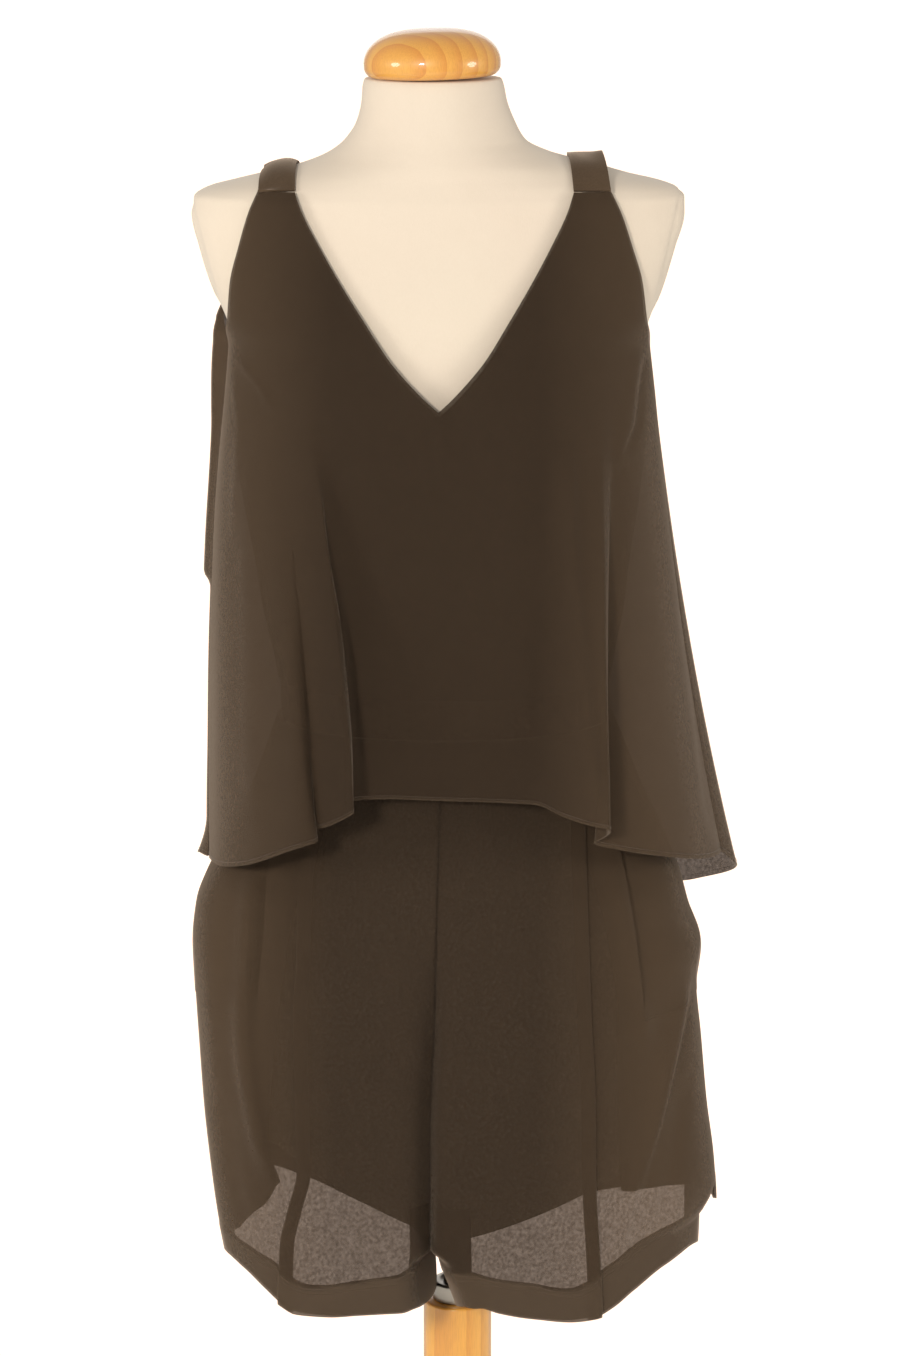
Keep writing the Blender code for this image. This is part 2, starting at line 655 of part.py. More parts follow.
def shorts_point(side, facing, share, z, outer_x=None, inset=0.0, inner_x=None):
    """Return a mid-surface point of one quarter of the shorts.

    Share runs from 0 at the centre seam, or the inner leg seam below the crotch, to 1 at the side.
    """
    ring = grown(shorts_ring(z), -inset)
    half = ring.left if side < 0 else ring.right
    if side > 0 > facing:
        half -= VENT * min(max((VENT_TOP - z) / (VENT_TOP - VENT_BOTTOM), 0.0), 1.0) ** 2
    depth = ring.front if facing < 0 else ring.back
    leg = leg_left(z) if side < 0 else leg_right(z)
    begin = leg if inner_x is None else side * inner_x
    x = begin + (side * half - begin) * (1 - math.cos(math.pi * share)) / 2
    if outer_x is not None and abs(x) > outer_x:
        x = side * outer_x
    around_body = rounded(x / half, ring.square)
    turn = rounded(1 - min(abs(x - leg) / LEG_TURN, 1.0), 2.0)
    closed = leg_closed(z) ** (1.0 if facing < 0 else BACK_SLACK)
    y = facing * depth * around_body * (1 - closed * (1 - turn))
    if facing < 0:
        y -= pleat_height(x, z)
    if share == 1 and outer_x is None:
        y = facing * SEAM
    if share == 0 and z <= CROTCH and inner_x is None:
        y = facing * SEAM
    return leaned(x, y, z)


def pleat_height(x, z):
    """Return how far a front pleat stands out: it grows from the centre and drops at its edge."""
    edge = pleat_line(z)
    across = abs(x)
    if across <= edge:
        return PLEAT_HEIGHT * max(0.0, 1 - (edge - across) / 0.050)
    return PLEAT_HEIGHT * max(0.0, 1 - (across - edge) / 0.006)


def leg_hem(side, facing, share):
    """Return the height of a leg's hem, which dips at the back of the leg."""
    if facing < 0:
        return hem_front(share)
    return hem_vent(share) if side > 0 else hem_back(share)


def make_shorts():
    """Build the shorts: two fronts with slanted pocket mouths, two pocket backs and two backs."""
    top = WAIST_BOTTOM - SEAM
    above = [top, 0.915, 0.88, 0.85, 0.82, 0.78, POCKET_END + 0.006]
    middle = [0.70, 0.65, 0.605, 0.58, 0.564, 0.558, 0.553, 0.5485, CROTCH]
    shares = [0.0, 0.10, 0.20, 0.30, 0.40, 0.50, 0.58, 0.64, 0.70, 0.78, 0.87, 1.0]
    for label, side in (("left", -1), ("right", 1)):
        rows = [[shorts_point(side, -1, s, z, outer_x=pocket_line(z)) for s in shares]
                for z in above]
        rows += [[shorts_point(side, -1, s, squeezed(side, -1, s, z)) for s in shares]
                 for z in [POCKET_END] + middle]
        rows += leg_rows(side, -1, shares)
        cloth_panel(f"shorts_front_{label}", [rows])
        tuck = [POCKET_END + 0.0075, 0.78, 0.82, 0.85, 0.88, 0.915, top]
        inset = CLOTH + 4 * SEAM
        rows = [[shorts_point(side, -1, s, z, inset=inset, inner_x=pocket_line(z) - POCKET_TUCK)
                 for s in (0.0, 0.18, 0.34, 0.5, 0.66, 0.82, 1.0)] for z in reversed(tuck)]
        cloth_panel(f"pocket_back_{label}", [rows])
        rows = [[shorts_point(side, 1, s, squeezed(side, 1, s, z)) for s in shares]
                for z in above + [POCKET_END] + middle]
        rows += leg_rows(side, 1, shares)
        cloth_panel(f"shorts_back_{label}", [rows])


def leg_rows(side, facing, shares):
    """Return the rows of one quarter below the crotch, down to its hem."""
    rows = []
    for drop in (0.5, 1.0):
        row = []
        for share in shares:
            hem = leg_hem(side, facing, share)
            above = max(CROTCH, hem + LEG_LEAST)
            row.append(shorts_point(side, facing, share, above + (hem - above) * drop))
        rows.append(row)
    return rows


def squeezed(side, facing, share, z):
    """Return a row's height at a share, moved up where the hem comes close to the crotch's height."""
    if z >= LEG_SQUEEZE:
        return z
    lowest = max(CROTCH, leg_hem(side, facing, share) + LEG_LEAST)
    return LEG_SQUEEZE - (LEG_SQUEEZE - z) * (LEG_SQUEEZE - lowest) / (LEG_SQUEEZE - CROTCH)


def clear_scene():
    """Remove whatever the file opened with, and make the collection for the parts."""
    for thing in list(bpy.data.objects):
        bpy.data.objects.remove(thing, do_unlink=True)
    collection = bpy.data.collections.new("playsuit_on_dress_form")
    bpy.context.scene.collection.children.link(collection)
    return collection


parts = clear_scene()
make_stand()
make_form()
make_cap()
make_top()
make_bodice()
make_straps()
make_waistband()
make_shorts()
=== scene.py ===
"""Looks of a sleeveless playsuit with a loose top layer, worn by a limbless dress form on a stand.

Metres, +Z up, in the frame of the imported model: the origin is on the floor under the centre of the
round base, and the front faces -Y. The form leans a little to -X on its stand, so the cloth and the
form are worked out upright and `leaned` carries their points into place.
"""

from __future__ import annotations

import logging
import math
from dataclasses import dataclass
from enum import Enum
from typing import Callable, NamedTuple, Sequence

import bmesh
import bpy
import numpy as np
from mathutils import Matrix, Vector


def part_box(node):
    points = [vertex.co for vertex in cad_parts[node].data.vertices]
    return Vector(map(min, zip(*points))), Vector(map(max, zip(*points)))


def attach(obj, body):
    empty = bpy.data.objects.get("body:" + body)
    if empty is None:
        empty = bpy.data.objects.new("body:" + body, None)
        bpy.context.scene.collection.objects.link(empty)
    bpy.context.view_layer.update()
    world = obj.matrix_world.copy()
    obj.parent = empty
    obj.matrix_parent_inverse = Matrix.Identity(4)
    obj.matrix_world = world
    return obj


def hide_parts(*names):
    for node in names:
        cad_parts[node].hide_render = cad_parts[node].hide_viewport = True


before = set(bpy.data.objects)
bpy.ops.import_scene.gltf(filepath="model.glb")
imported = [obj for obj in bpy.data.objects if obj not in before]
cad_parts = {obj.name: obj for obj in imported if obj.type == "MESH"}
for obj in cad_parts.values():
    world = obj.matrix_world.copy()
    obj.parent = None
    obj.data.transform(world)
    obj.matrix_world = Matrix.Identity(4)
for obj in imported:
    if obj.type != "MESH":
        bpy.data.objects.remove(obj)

LOG = logging.getLogger("playsuit")
BODY = "root"

Array = np.ndarray
Colour = tuple[float, float, float]
Material = bpy.types.Material
Socket = bpy.types.NodeSocket
Thing = bpy.types.Object

# Levels and allowances shared by the pieces.
LEAN = 0.0196
LEAN_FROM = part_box("stand_column")[1].z
APEX = 1.2025
UNDERARM = 1.236
ARM_TURN = 1.262
SCOOP = 1.25
STRAP_SEAM = 1.355
BACK_TOP = 1.31
WAIST_TOP = 0.985
WAIST_BOTTOM = 0.955
CROTCH = 0.546
POCKET_END = 0.74
LEG_TURN = 0.026
WALL = 0.0008
HEM_WALL = 0.0016
ROLL = 0.0018
ROLL_BLEND = 0.0008
ROLL_ROWS = (0.0036, 0.003, 0.0024, 0.0012)
SEAM_REACH = 0.0018
NECK_FADE = 0.002
ARM_FADE = 0.003
EDGE_LIGHT = 0.44
SHARP = math.radians(50)
# Stands for zero in a middle column, so that the column keeps the sign of its side.
NO_WIDTH = 1e-9
NEVER_ZERO = 1e-6


class Ring(NamedTuple):
    """A level section: how far it reaches each way, and how square it is (2 is an ellipse)."""

    height: float
    left: float
    right: float
    front: float
    back: float
    square: float


class Fold(NamedTuple):
    """A point of a hem: its share of the panel's width, and where it hangs."""

    share: float
    x: float
    y: float
    height: float


class Leg(NamedTuple):
    """Where the inner sides of both legs are at a height, and how far they have closed in."""

    height: float
    left: float
    right: float
    closed: float


class Facing(Enum):
    """Which side of the body a panel covers: the sign of y there."""

    FRONT = -1
    BACK = 1


class Border(Enum):
    """A border of a stretch of cloth, whose rows run from its top down to its hem."""

    HEM = "hem"
    FIRST = "first column"
    LAST = "last column"


class Side(Enum):
    """Left or right as seen from the front: the sign of x there."""

    LEFT = -1
    RIGHT = 1

    @property
    def place(self) -> int:
        """Its place in a pair of sizes, the left one first."""
        return (self.value + 1) // 2

    @property
    def rim(self) -> Border:
        """The border of its half of a panel at the armhole and the side seam."""
        return Border.FIRST if self is Side.LEFT else Border.LAST

    @property
    def centre(self) -> Border:
        """The border of its half of a panel at the neckline and the middle."""
        return Border.LAST if self is Side.LEFT else Border.FIRST


FORM_RINGS = (
    Ring(0.565, 0.158, 0.158, 0.098, 0.098, 2.3),
    Ring(0.640, 0.167, 0.167, 0.109, 0.114, 2.3),
    Ring(0.700, 0.168, 0.168, 0.112, 0.124, 2.3),
    Ring(0.780, 0.162, 0.162, 0.110, 0.117, 2.3),
    Ring(0.860, 0.145, 0.145, 0.103, 0.099, 2.3),
    Ring(0.960, 0.121, 0.121, 0.091, 0.080, 2.2),
    Ring(1.050, 0.128, 0.128, 0.094, 0.088, 2.2),
    Ring(1.130, 0.140, 0.140, 0.100, 0.098, 2.2),
    Ring(1.190, 0.147, 0.147, 0.102, 0.103, 2.2),
    Ring(1.235, 0.150, 0.150, 0.098, 0.103, 2.2),
    Ring(1.258, 0.157, 0.159, 0.093, 0.101, 2.3),
    Ring(1.275, 0.165, 0.166, 0.088, 0.099, 2.3),
    Ring(1.310, 0.175, 0.177, 0.077, 0.092, 2.4),
    Ring(1.335, 0.180, 0.184, 0.070, 0.086, 2.4),
    Ring(1.347, 0.178, 0.184, 0.067, 0.082, 2.4),
    Ring(1.353, 0.169, 0.1795, 0.065, 0.080, 2.3),
    Ring(1.3575, 0.152, 0.168, 0.0635, 0.0785, 2.25),
    Ring(1.362, 0.133, 0.148, 0.062, 0.077, 2.2),
    Ring(1.370, 0.100, 0.120, 0.060, 0.075, 2.1),
    Ring(1.379, 0.078, 0.086, 0.057, 0.071, 2.0),
    Ring(1.388, 0.066, 0.068, 0.054, 0.067, 2.0),
    Ring(1.402, 0.0565, 0.060, 0.051, 0.062, 2.0),
    Ring(1.417, 0.0525, 0.0545, 0.049, 0.058, 2.0),
    Ring(1.4280, 0.0515, 0.0525, 0.048, 0.056, 2.0),
    Ring(1.4322, 0.0502, 0.0512, 0.047, 0.054, 2.0),
)
SHORTS_RINGS = (
    Ring(0.470, 0.172, 0.196, 0.112, 0.072, 2.4),
    Ring(0.520, 0.180, 0.202, 0.120, 0.086, 2.4),
    Ring(0.560, 0.186, 0.204, 0.125, 0.104, 2.4),
    Ring(0.600, 0.190, 0.202, 0.127, 0.117, 2.4),
    Ring(0.648, 0.1935, 0.1965, 0.128, 0.126, 2.4),
    Ring(0.700, 0.1955, 0.1925, 0.128, 0.133, 2.4),
    Ring(0.745, 0.1970, 0.1890, 0.128, 0.135, 2.4),
    Ring(0.775, 0.1975, 0.1925, 0.127, 0.135, 2.4),
    Ring(0.806, 0.1940, 0.1830, 0.125, 0.131, 2.4),
    Ring(0.830, 0.1850, 0.1770, 0.122, 0.125, 2.4),
    Ring(0.850, 0.1730, 0.1700, 0.118, 0.119, 2.3),
    Ring(0.900, 0.1480, 0.1480, 0.107, 0.103, 2.3),
    Ring(WAIST_BOTTOM, 0.1265, 0.1265, 0.0965, 0.0860, 2.2),
)
FRONT_HEM = (
    Fold(-1.00, -0.184, -0.000, 0.841),
    Fold(-0.93, -0.172, -0.060, 0.850),
    Fold(-0.80, -0.144, -0.120, 0.868),
    Fold(-0.66, -0.118, -0.150, 0.885),
    Fold(-0.58, -0.100, -0.163, 0.894),
    Fold(-0.53, -0.094, -0.157, 0.896),
    Fold(-0.49, -0.099, -0.149, 0.900),
    Fold(-0.44, -0.084, -0.161, 0.908),
    Fold(-0.385, -0.067, -0.168, 0.919),
    Fold(-0.355, -0.074, -0.150, 0.920),
    Fold(-0.325, -0.070, -0.136, 0.920),
    Fold(-0.280, -0.055, -0.131, 0.920),
    Fold(0.00, -0.004, -0.128, 0.918),
    Fold(0.30, 0.066, -0.132, 0.916),
    Fold(0.39, 0.083, -0.148, 0.912),
    Fold(0.47, 0.106, -0.163, 0.908),
    Fold(0.50, 0.118, -0.164, 0.905),
    Fold(0.53, 0.117, -0.149, 0.898),
    Fold(0.57, 0.108, -0.135, 0.888),
    Fold(0.66, 0.127, -0.129, 0.881),
    Fold(0.80, 0.154, -0.115, 0.873),
    Fold(0.90, 0.182, -0.084, 0.862),
    Fold(0.97, 0.203, -0.034, 0.850),
    Fold(1.00, 0.210, -0.000, 0.845),
)
BACK_HEM = (
    Fold(-1.00, -0.184, 0.000, 0.841),
    Fold(-0.97, -0.186, 0.016, 0.840),
    Fold(-0.90, -0.179, 0.058, 0.820),
    Fold(-0.74, -0.158, 0.112, 0.795),
    Fold(-0.55, -0.130, 0.146, 0.783),
    Fold(-0.36, -0.092, 0.168, 0.777),
    Fold(-0.18, -0.048, 0.150, 0.775),
    Fold(0.00, 0.000, 0.170, 0.774),
    Fold(0.18, 0.048, 0.150, 0.775),
    Fold(0.34, 0.095, 0.172, 0.777),
    Fold(0.50, 0.140, 0.150, 0.780),
    Fold(0.66, 0.184, 0.126, 0.786),
    Fold(0.78, 0.205, 0.097, 0.798),
    Fold(0.88, 0.224, 0.062, 0.814),
    Fold(0.93, 0.224, 0.036, 0.824),
    Fold(1.00, 0.210, 0.000, 0.845),
)
LEGS = (
    Leg(0.470, -0.0165, 0.0040, 1.00),
    Leg(0.505, -0.0168, -0.0060, 1.00),
    Leg(0.525, -0.0178, -0.0125, 1.00),
    Leg(CROTCH, -0.0190, -0.0190, 1.00),
    Leg(0.5485, -0.0190, -0.0190, 0.90),
    Leg(0.5530, -0.0190, -0.0190, 0.60),
    Leg(0.5580, -0.0190, -0.0190, 0.26),
    Leg(0.5640, -0.0187, -0.0187, 0.09),
    Leg(0.600, -0.0181, -0.0181, 0.03),
    Leg(0.660, -0.0170, -0.0170, 0.00),
    Leg(0.740, -0.0120, -0.0120, 0.00),
    Leg(0.840, -0.0080, -0.0080, 0.00),
    Leg(WAIST_BOTTOM, -0.0020, -0.0020, 0.00),
)


class Curve:
    """A smooth curve through the rows of a table, which never overshoots them."""

    def __init__(self, keys: Sequence[float], values: Sequence[float]) -> None:
        """Find the slopes at the rows.

        Args:
            keys: The growing keys of the table.
            values: The value at each key.
        """
        self.keys = np.asarray(keys, float)
        self.values = np.asarray(values, float)
        self.steps = np.diff(self.keys)
        slopes = np.diff(self.values) / self.steps
        before, after = slopes[:-1], slopes[1:]
        inner = np.zeros(len(before))
        same = before * after > 0
        inner[same] = 2 / (1 / before[same] + 1 / after[same])
        self.tangents = np.concatenate(([slopes[0]], inner, [slopes[-1]]))

    def __call__(self, key: Array | float) -> Array:
        """Read the curve.

        Args:
            key: Where to read it, held inside the table.

        Returns:
            The values there, in the shape of the keys.
        """
        i = np.clip(np.searchsorted(self.keys, key) - 1, 0, len(self.steps) - 1)
        step = self.steps[i]
        t = np.clip((key - self.keys[i]) / step, 0.0, 1.0)
        start = (1 + 2 * t) * (1 - t) ** 2 * self.values[i] + t * (1 - t) ** 2 * step * self.tangents[i]
        end = t * t * (3 - 2 * t) * self.values[i + 1] - t * t * (1 - t) * step * self.tangents[i + 1]
        return start + end


def table_curves(rows: Sequence[Sequence[float]]) -> list[Curve]:
    """Read a table's columns as curves over its first.

    Args:
        rows: The table, sorted by its first column.

    Returns:
        One curve for each further column.
    """
    columns = list(zip(*rows))
    return [Curve(columns[0], column) for column in columns[1:]]


def smooth(value: Array | float) -> Array:
    """Return an even ease from 0 to 1 as the value goes from 0 to 1."""
    t = np.clip(value, 0.0, 1.0)
    return t * t * (3 - 2 * t)


def rounded(share: Array, square: Array) -> Array:
    """Return the depth left, 0 to 1, at a share of the half width of a section."""
    return np.maximum(1 - np.minimum(np.abs(share), 1.0) ** square, 0.0) ** (1 / square)


def softened(values: Array, passes: int) -> Array:
    """Smooth values along their last axis, with the ends held.

    Args:
        values: The values.
        passes: How many times each value moves half way to its neighbours.

    Returns:
        The smoothed values.
    """
    values = np.array(values, float)
    for _ in range(passes):
        middle = (values[..., :-2] + 2 * values[..., 1:-1] + values[..., 2:]) / 4
        values[..., 1:-1] = middle
    return values


def stack(x: Array, y: Array, z: Array) -> Array:
    """Join three coordinate arrays of any matching shapes into points."""
    return np.stack(np.broadcast_arrays(x, y, z), axis=-1)


def leaned(points: Array) -> Array:
    """Carry points of the upright form into the frame of the part."""
    moved = np.array(points, float)
    moved[..., 0] -= LEAN * (moved[..., 2] - LEAN_FROM)
    return moved


def ripple(x: Array, z: Array, waves: Sequence[tuple[float, float, float]]) -> Array:
    """Return a slow unevenness from a few crossing waves.

    Args:
        x: Where, across.
        z: Where, up.
        waves: The waves' turns per metre across and up, and their phase.

    Returns:
        A height from -1 to 1 at each place.
    """
    total = sum(np.sin(math.tau * (across * x + up * z) + phase) for across, up, phase in waves)
    return total / len(waves)


CLOTH_WAVES = ((9.0, 2.3, 0.4), (14.0, -4.1, 1.9), (5.0, 7.7, 3.1), (22.0, 3.0, 5.2))


@dataclass(frozen=True)
class Bust:
    """The even swell of the chest over its plain section."""

    out: float = 0.015
    x: float = 0.07
    z: float = 1.135
    wide: float = 0.046
    tall: float = 0.062

    def at(self, x: Array, z: Array) -> Array:
        """Return how far the swell stands forward at each place."""
        return self.out * np.exp(-((np.abs(x) - self.x) / self.wide) ** 2 - ((z - self.z) / self.tall) ** 2)


class Section(NamedTuple):
    """Level sections read at many heights at once."""

    left: Array
    right: Array
    front: Array
    back: Array
    square: Array

    def half(self, x: Array) -> Array:
        """Return the half width on the side where x lies."""
        return np.where(np.asarray(x) > 0, self.right, self.left)

    def share_left(self, x: Array) -> Array:
        """Return the depth left at x, as a share of the full depth."""
        return rounded(x / self.half(x), self.square)

    def around(self, angle: Array) -> tuple[Array, Array]:
        """Return x and y at angles round the section, counted from the middle of its front."""
        across, along = np.sin(angle), np.cos(angle)
        power = 2 / self.square
        x = np.sign(across) * np.where(across > 0, self.right, self.left) * np.abs(across) ** power
        y = -np.sign(along) * np.where(along > 0, self.front, self.back) * np.abs(along) ** power
        return x, y


class Body:
    """A rounded body known by its level sections."""

    def __init__(self, rows: Sequence[Ring], bust: Bust | None = None) -> None:
        """Keep a curve for each size of the sections.

        Args:
            rows: The sections, from the lowest up.
            bust: The swell of the chest, if it has one.
        """
        self.curves = table_curves(rows)
        self.bust = bust

    def section(self, z: Array | float, lift: Array | float = 0.0) -> Section:
        """Read the sections.

        Args:
            z: The heights.
            lift: How far outside the body.

        Returns:
            The sections there.
        """
        *reaches, square = (curve(z) for curve in self.curves)
        return Section(*(reach + lift for reach in reaches), square)

    def depth(self, section: Section, x: Array, z: Array, facing: Facing) -> Array:
        """Find y on the body.

        Args:
            section: The sections at the heights.
            x: Where, across.
            z: The heights.
            facing: Front or back.

        Returns:
            y at each place.
        """
        left = section.share_left(x)
        if facing is Facing.BACK:
            return section.back * left
        swell = self.bust.at(x, z) * np.sqrt(left) if self.bust else 0.0
        return -section.front * left - swell


FORM = Body(FORM_RINGS, Bust())
SHORTS = Body(SHORTS_RINGS)


@dataclass(frozen=True)
class Crease:
    """A soft fold: its route as (height, x) from the lowest point up, its width and how high it stands.

    A height below zero makes a trough. The fold dies out over `fade` at both ends of its route, and
    its right flank falls away `steepness` times as fast as its left one.
    """

    route: tuple[tuple[float, float], ...]
    width: float
    height: float
    fade: float = 0.03
    steepness: float = 1.0

    def at(self, x: Array, z: Array) -> Array:
        """Return how far the cloth stands out at each place."""
        (middle,) = table_curves(self.route)
        off = (x - middle(z)) / self.width
        off = np.where(off > 0, off * self.steepness, off)
        low, high = self.route[0][0], self.route[-1][0]
        stands = self.height * np.exp(-off * off)
        return stands * smooth((z - low) / self.fade) * smooth((high - z) / self.fade)


@dataclass
class Stretch:
    """One stretch of cloth as rows of points, from its top down to its hem.

    `outward` is 1 where columns run so that the faces look outwards, and -1 where they are turned.
    `edge` says how much each point belongs to a rolled edge, 0 to 1; such points are thickened, and painted
    lighter as painted light.
    """

    points: Array
    outward: int
    edge: Array | None = None

    def normals(self) -> Array:
        """Return the outward direction at every point."""
        down = np.gradient(self.points, axis=0)
        along = np.gradient(self.points, axis=1)
        across = np.cross(down, along) * self.outward
        return across / np.maximum(np.linalg.norm(across, axis=-1, keepdims=True), 1e-12)

    def moved(self, distance: Array | float) -> Stretch:
        """Return the stretch moved outwards by a distance, or by one distance for each point."""
        step = np.broadcast_to(distance, self.points.shape[:2])[..., None]
        return Stretch(self.points + self.normals() * step, self.outward, self.edge)

    def reach(self, border: Border) -> Array:
        """Return how far each point lies from a border, along the cloth."""
        axis = 0 if border is Border.HEM else 1
        steps = np.linalg.norm(np.diff(self.points, axis=axis), axis=-1)
        pad = ((1, 0), (0, 0)) if axis == 0 else ((0, 0), (1, 0))
        run = np.cumsum(np.pad(steps, pad), axis=axis)
        return run if border is Border.FIRST else np.take(run, [-1], axis=axis) - run

    def rolled(self, border: Border, where: Array | float = 1.0, width: float = ROLL) -> Stretch:
        """Give a border a narrow rolled edge, thickened and painted lighter as painted light.

        Args:
            border: Which border.
            where: How much of it each point has, for a border that is an edge only in part.
            width: How wide the roll is.

        Returns:
            The same stretch, changed.
        """
        roll = smooth((width - self.reach(border)) / ROLL_BLEND + 0.5) * where * EDGE_LIGHT
        self.edge = roll if self.edge is None else np.maximum(self.edge, roll)
        return self

    def seamed(self, border: Border, depth: float, where: Array) -> Stretch:
        """Return the stretch drawn in a little where a border is sewn to its neighbour."""
        return self.moved(-depth * np.exp(-(self.reach(border) / SEAM_REACH) ** 2) * where)

    def leaning(self) -> Stretch:
        """Return the stretch carried from the upright form into the frame of the part."""
        return Stretch(leaned(self.points), self.outward, self.edge)


def stops(length: float, step: float, fine_end: bool = False) -> Array:
    """Space rows over a length.

    Args:
        length: The length in metres.
        step: The usual distance between rows.
        fine_end: Whether rows are added for a rolled edge at the end.

    Returns:
        The rows' shares of the length, from 0 to 1.
    """
    count = max(int(round(length / step)), 2)
    shares = np.linspace(0.0, 1.0, count + 1)
    if fine_end:
        near = 1 - np.array(ROLL_ROWS) / length
        shares = np.concatenate((shares[shares < near[0] - 0.3 * step / length], near, [1.0]))
    return shares


# ---- finishes


class Nodes:
    """A material's node tree, and a short way to fill it."""

    def __init__(self, name: str) -> None:
        """Start a material with a Principled shader."""
        self.material = bpy.data.materials.new(name)
        self.material.use_nodes = True
        self.tree = self.material.node_tree
        self.shader = self.tree.nodes["Principled BSDF"]

    def put(self, socket: Socket, value: object) -> None:
        """Link or set one socket."""
        if isinstance(value, Socket):
            self.tree.links.new(value, socket)
        else:
            socket.default_value = value

    def add(self, kind: str, inputs: dict[object, object], **settings: object) -> bpy.types.Node:
        """Add a node.

        Args:
            kind: Its type.
            inputs: Values or sockets by the name or number of the input.
            settings: The node's own properties.

        Returns:
            The node.
        """
        node = self.tree.nodes.new(kind)
        for name, value in settings.items():
            setattr(node, name, value)
        for name, value in inputs.items():
            self.put(node.inputs[name], value)
        return node

    def place(self, scale: Sequence[float] = (1, 1, 1), shift: Sequence[float] = (0, 0, 0),
              turn: Sequence[float] = (0, 0, 0)) -> Socket:
        """Return the object's own coordinates, shifted, turned and scaled."""
        where = self.tree.nodes.new("ShaderNodeTexCoord").outputs["Object"]
        mapping = self.add("ShaderNodeMapping", {"Vector": where, "Location": shift, "Rotation": turn,
                                                 "Scale": scale})
        return mapping.outputs["Vector"]

    def noise(self, vector: Socket, size: float, detail: float = 2.0,
              rough: float = 0.5, distortion: float = 0.0) -> Socket:
        """Return a noise with features of a size in metres."""
        node = self.add("ShaderNodeTexNoise", {"Vector": vector, "Scale": 1 / size, "Detail": detail,
                                               "Roughness": rough, "Distortion": distortion})
        return node.outputs["Fac"]

    def spread(self, value: Socket, low: float, high: float,
               source: tuple[float, float] = (0.3, 0.7)) -> Socket:
        """Return a value carried from its source range to another range."""
        node = self.add("ShaderNodeMapRange", {"Value": value, "From Min": source[0], "From Max": source[1],
                                               "To Min": low, "To Max": high})
        return node.outputs["Result"]

    def math(self, operation: str, first: object, second: object) -> Socket:
        """Return the result of a sum, product or other operation."""
        return self.add("ShaderNodeMath", {0: first, 1: second}, operation=operation).outputs[0]

    def mix(self, factor: object, first: object, second: object) -> Socket:
        """Return a mix of two colours."""
        colours = [(*c, 1.0) if isinstance(c, tuple) else c for c in (first, second)]
        node = self.add("ShaderNodeMix", {0: factor, 6: colours[0], 7: colours[1]}, data_type="RGBA")
        return node.outputs[2]

    def bump(self, height: Socket, strength: float, distance: float) -> Socket:
        """Return a normal bumped by a height."""
        node = self.add("ShaderNodeBump", {"Height": height, "Strength": strength, "Distance": distance})
        return node.outputs["Normal"]

    def finish(self, **values: object) -> Material:
        """Set the shader's sockets, named with _ for a space, and return the material."""
        for name, value in values.items():
            self.put(self.shader.inputs[name.replace("_", " ")], value)
        return self.material


@dataclass(frozen=True)
class Georgette:
    """Crepe georgette: matt and a little sheer, with a pebbled grain about a millimetre wide.

    `cover` is how much of the light it stops. Painted light: the tone is lightened towards its sides,
    over a span of distances beside the form's middle, which is at `middle`.
    """

    colour: Colour = (0.03, 0.0186, 0.0105)
    raised: Colour = (0.0468, 0.0296, 0.0172)
    # the colour of rolled edges and hem bands: painted light on them
    edge: Colour = (0.086, 0.058, 0.036)
    # painted light: the lighter colour painted towards the cloth's sides
    painted_side_light: Colour = (0.115, 0.074, 0.043)
    pebble: float = 0.0012
    thread: float = 0.0007
    slub: float = 0.012
    weave: float = 0.0023
    cover: float = 0.744
    cover_spread: float = 0.065
    edge_cover: float = 0.88
    sheen: float = 0.35
    middle: float = -0.016
    painted_light_from: float = 0.075
    painted_light_to: float = 0.165
    painted_light_amount: float = 0.54

    def material(self, name: str = "georgette") -> Material:
        """Return the cloth's material; points of a rolled edge carry the attribute `edge`, which makes them
        denser and paints light on them.
        """
        nodes = Nodes(name)
        place = nodes.place()
        pebbles = nodes.noise(place, self.pebble, 3.0, 0.6, 0.4)
        threads = nodes.noise(nodes.place((1.0, 1.0, 0.45)), self.thread, 1.0)
        slubs = nodes.noise(place, self.slub, 3.0, 0.55)
        pebbles, threads = nodes.math("MULTIPLY", pebbles, 0.65), nodes.math("MULTIPLY", threads, 0.35)
        grain = nodes.math("ADD", pebbles, threads)
        edge = nodes.add("ShaderNodeAttribute", {}, attribute_name="edge").outputs["Fac"]
        most_of_noise = (0.36, 0.66)
        tone = nodes.mix(nodes.spread(grain, 0.0, 1.0, most_of_noise), self.colour, self.raised)
        tone = nodes.mix(nodes.spread(slubs, 0.0, 0.16), tone, self.raised)
        # Painted light: the tone is lightened towards the sides, with the distance from the form's middle.
        centred = nodes.place(shift=(-self.middle, 0.0, 0.0))
        aside = nodes.add("ShaderNodeSeparateXYZ", {0: centred}).outputs["X"]
        aside = nodes.math("ABSOLUTE", aside, 0.0)
        free = nodes.spread(aside, 0.0, self.painted_light_amount, (self.painted_light_from, self.painted_light_to))
        tone = nodes.mix(free, tone, self.painted_side_light)
        # Painted light: rolled edges and hem bands are lightened towards the edge colour.
        tone = nodes.mix(edge, tone, self.edge)
        weave = nodes.noise(nodes.place((1.0, 1.0, 0.8)), self.weave, 2.0, 0.6)
        thin, thick = self.cover - self.cover_spread, self.cover + self.cover_spread
        cover = nodes.spread(weave, thin, thick, most_of_noise)
        cover = nodes.math("MAXIMUM", cover, nodes.math("MULTIPLY", edge, self.edge_cover))
        normal = nodes.bump(grain, 0.2, 0.0003)
        return nodes.finish(Base_Color=tone, Roughness=0.86, Alpha=cover, Normal=normal,
                            Sheen_Weight=self.sheen, Sheen_Roughness=0.35, Sheen_Tint=(1.0, 0.8, 0.62, 1.0),
                            Specular_IOR_Level=0.12)


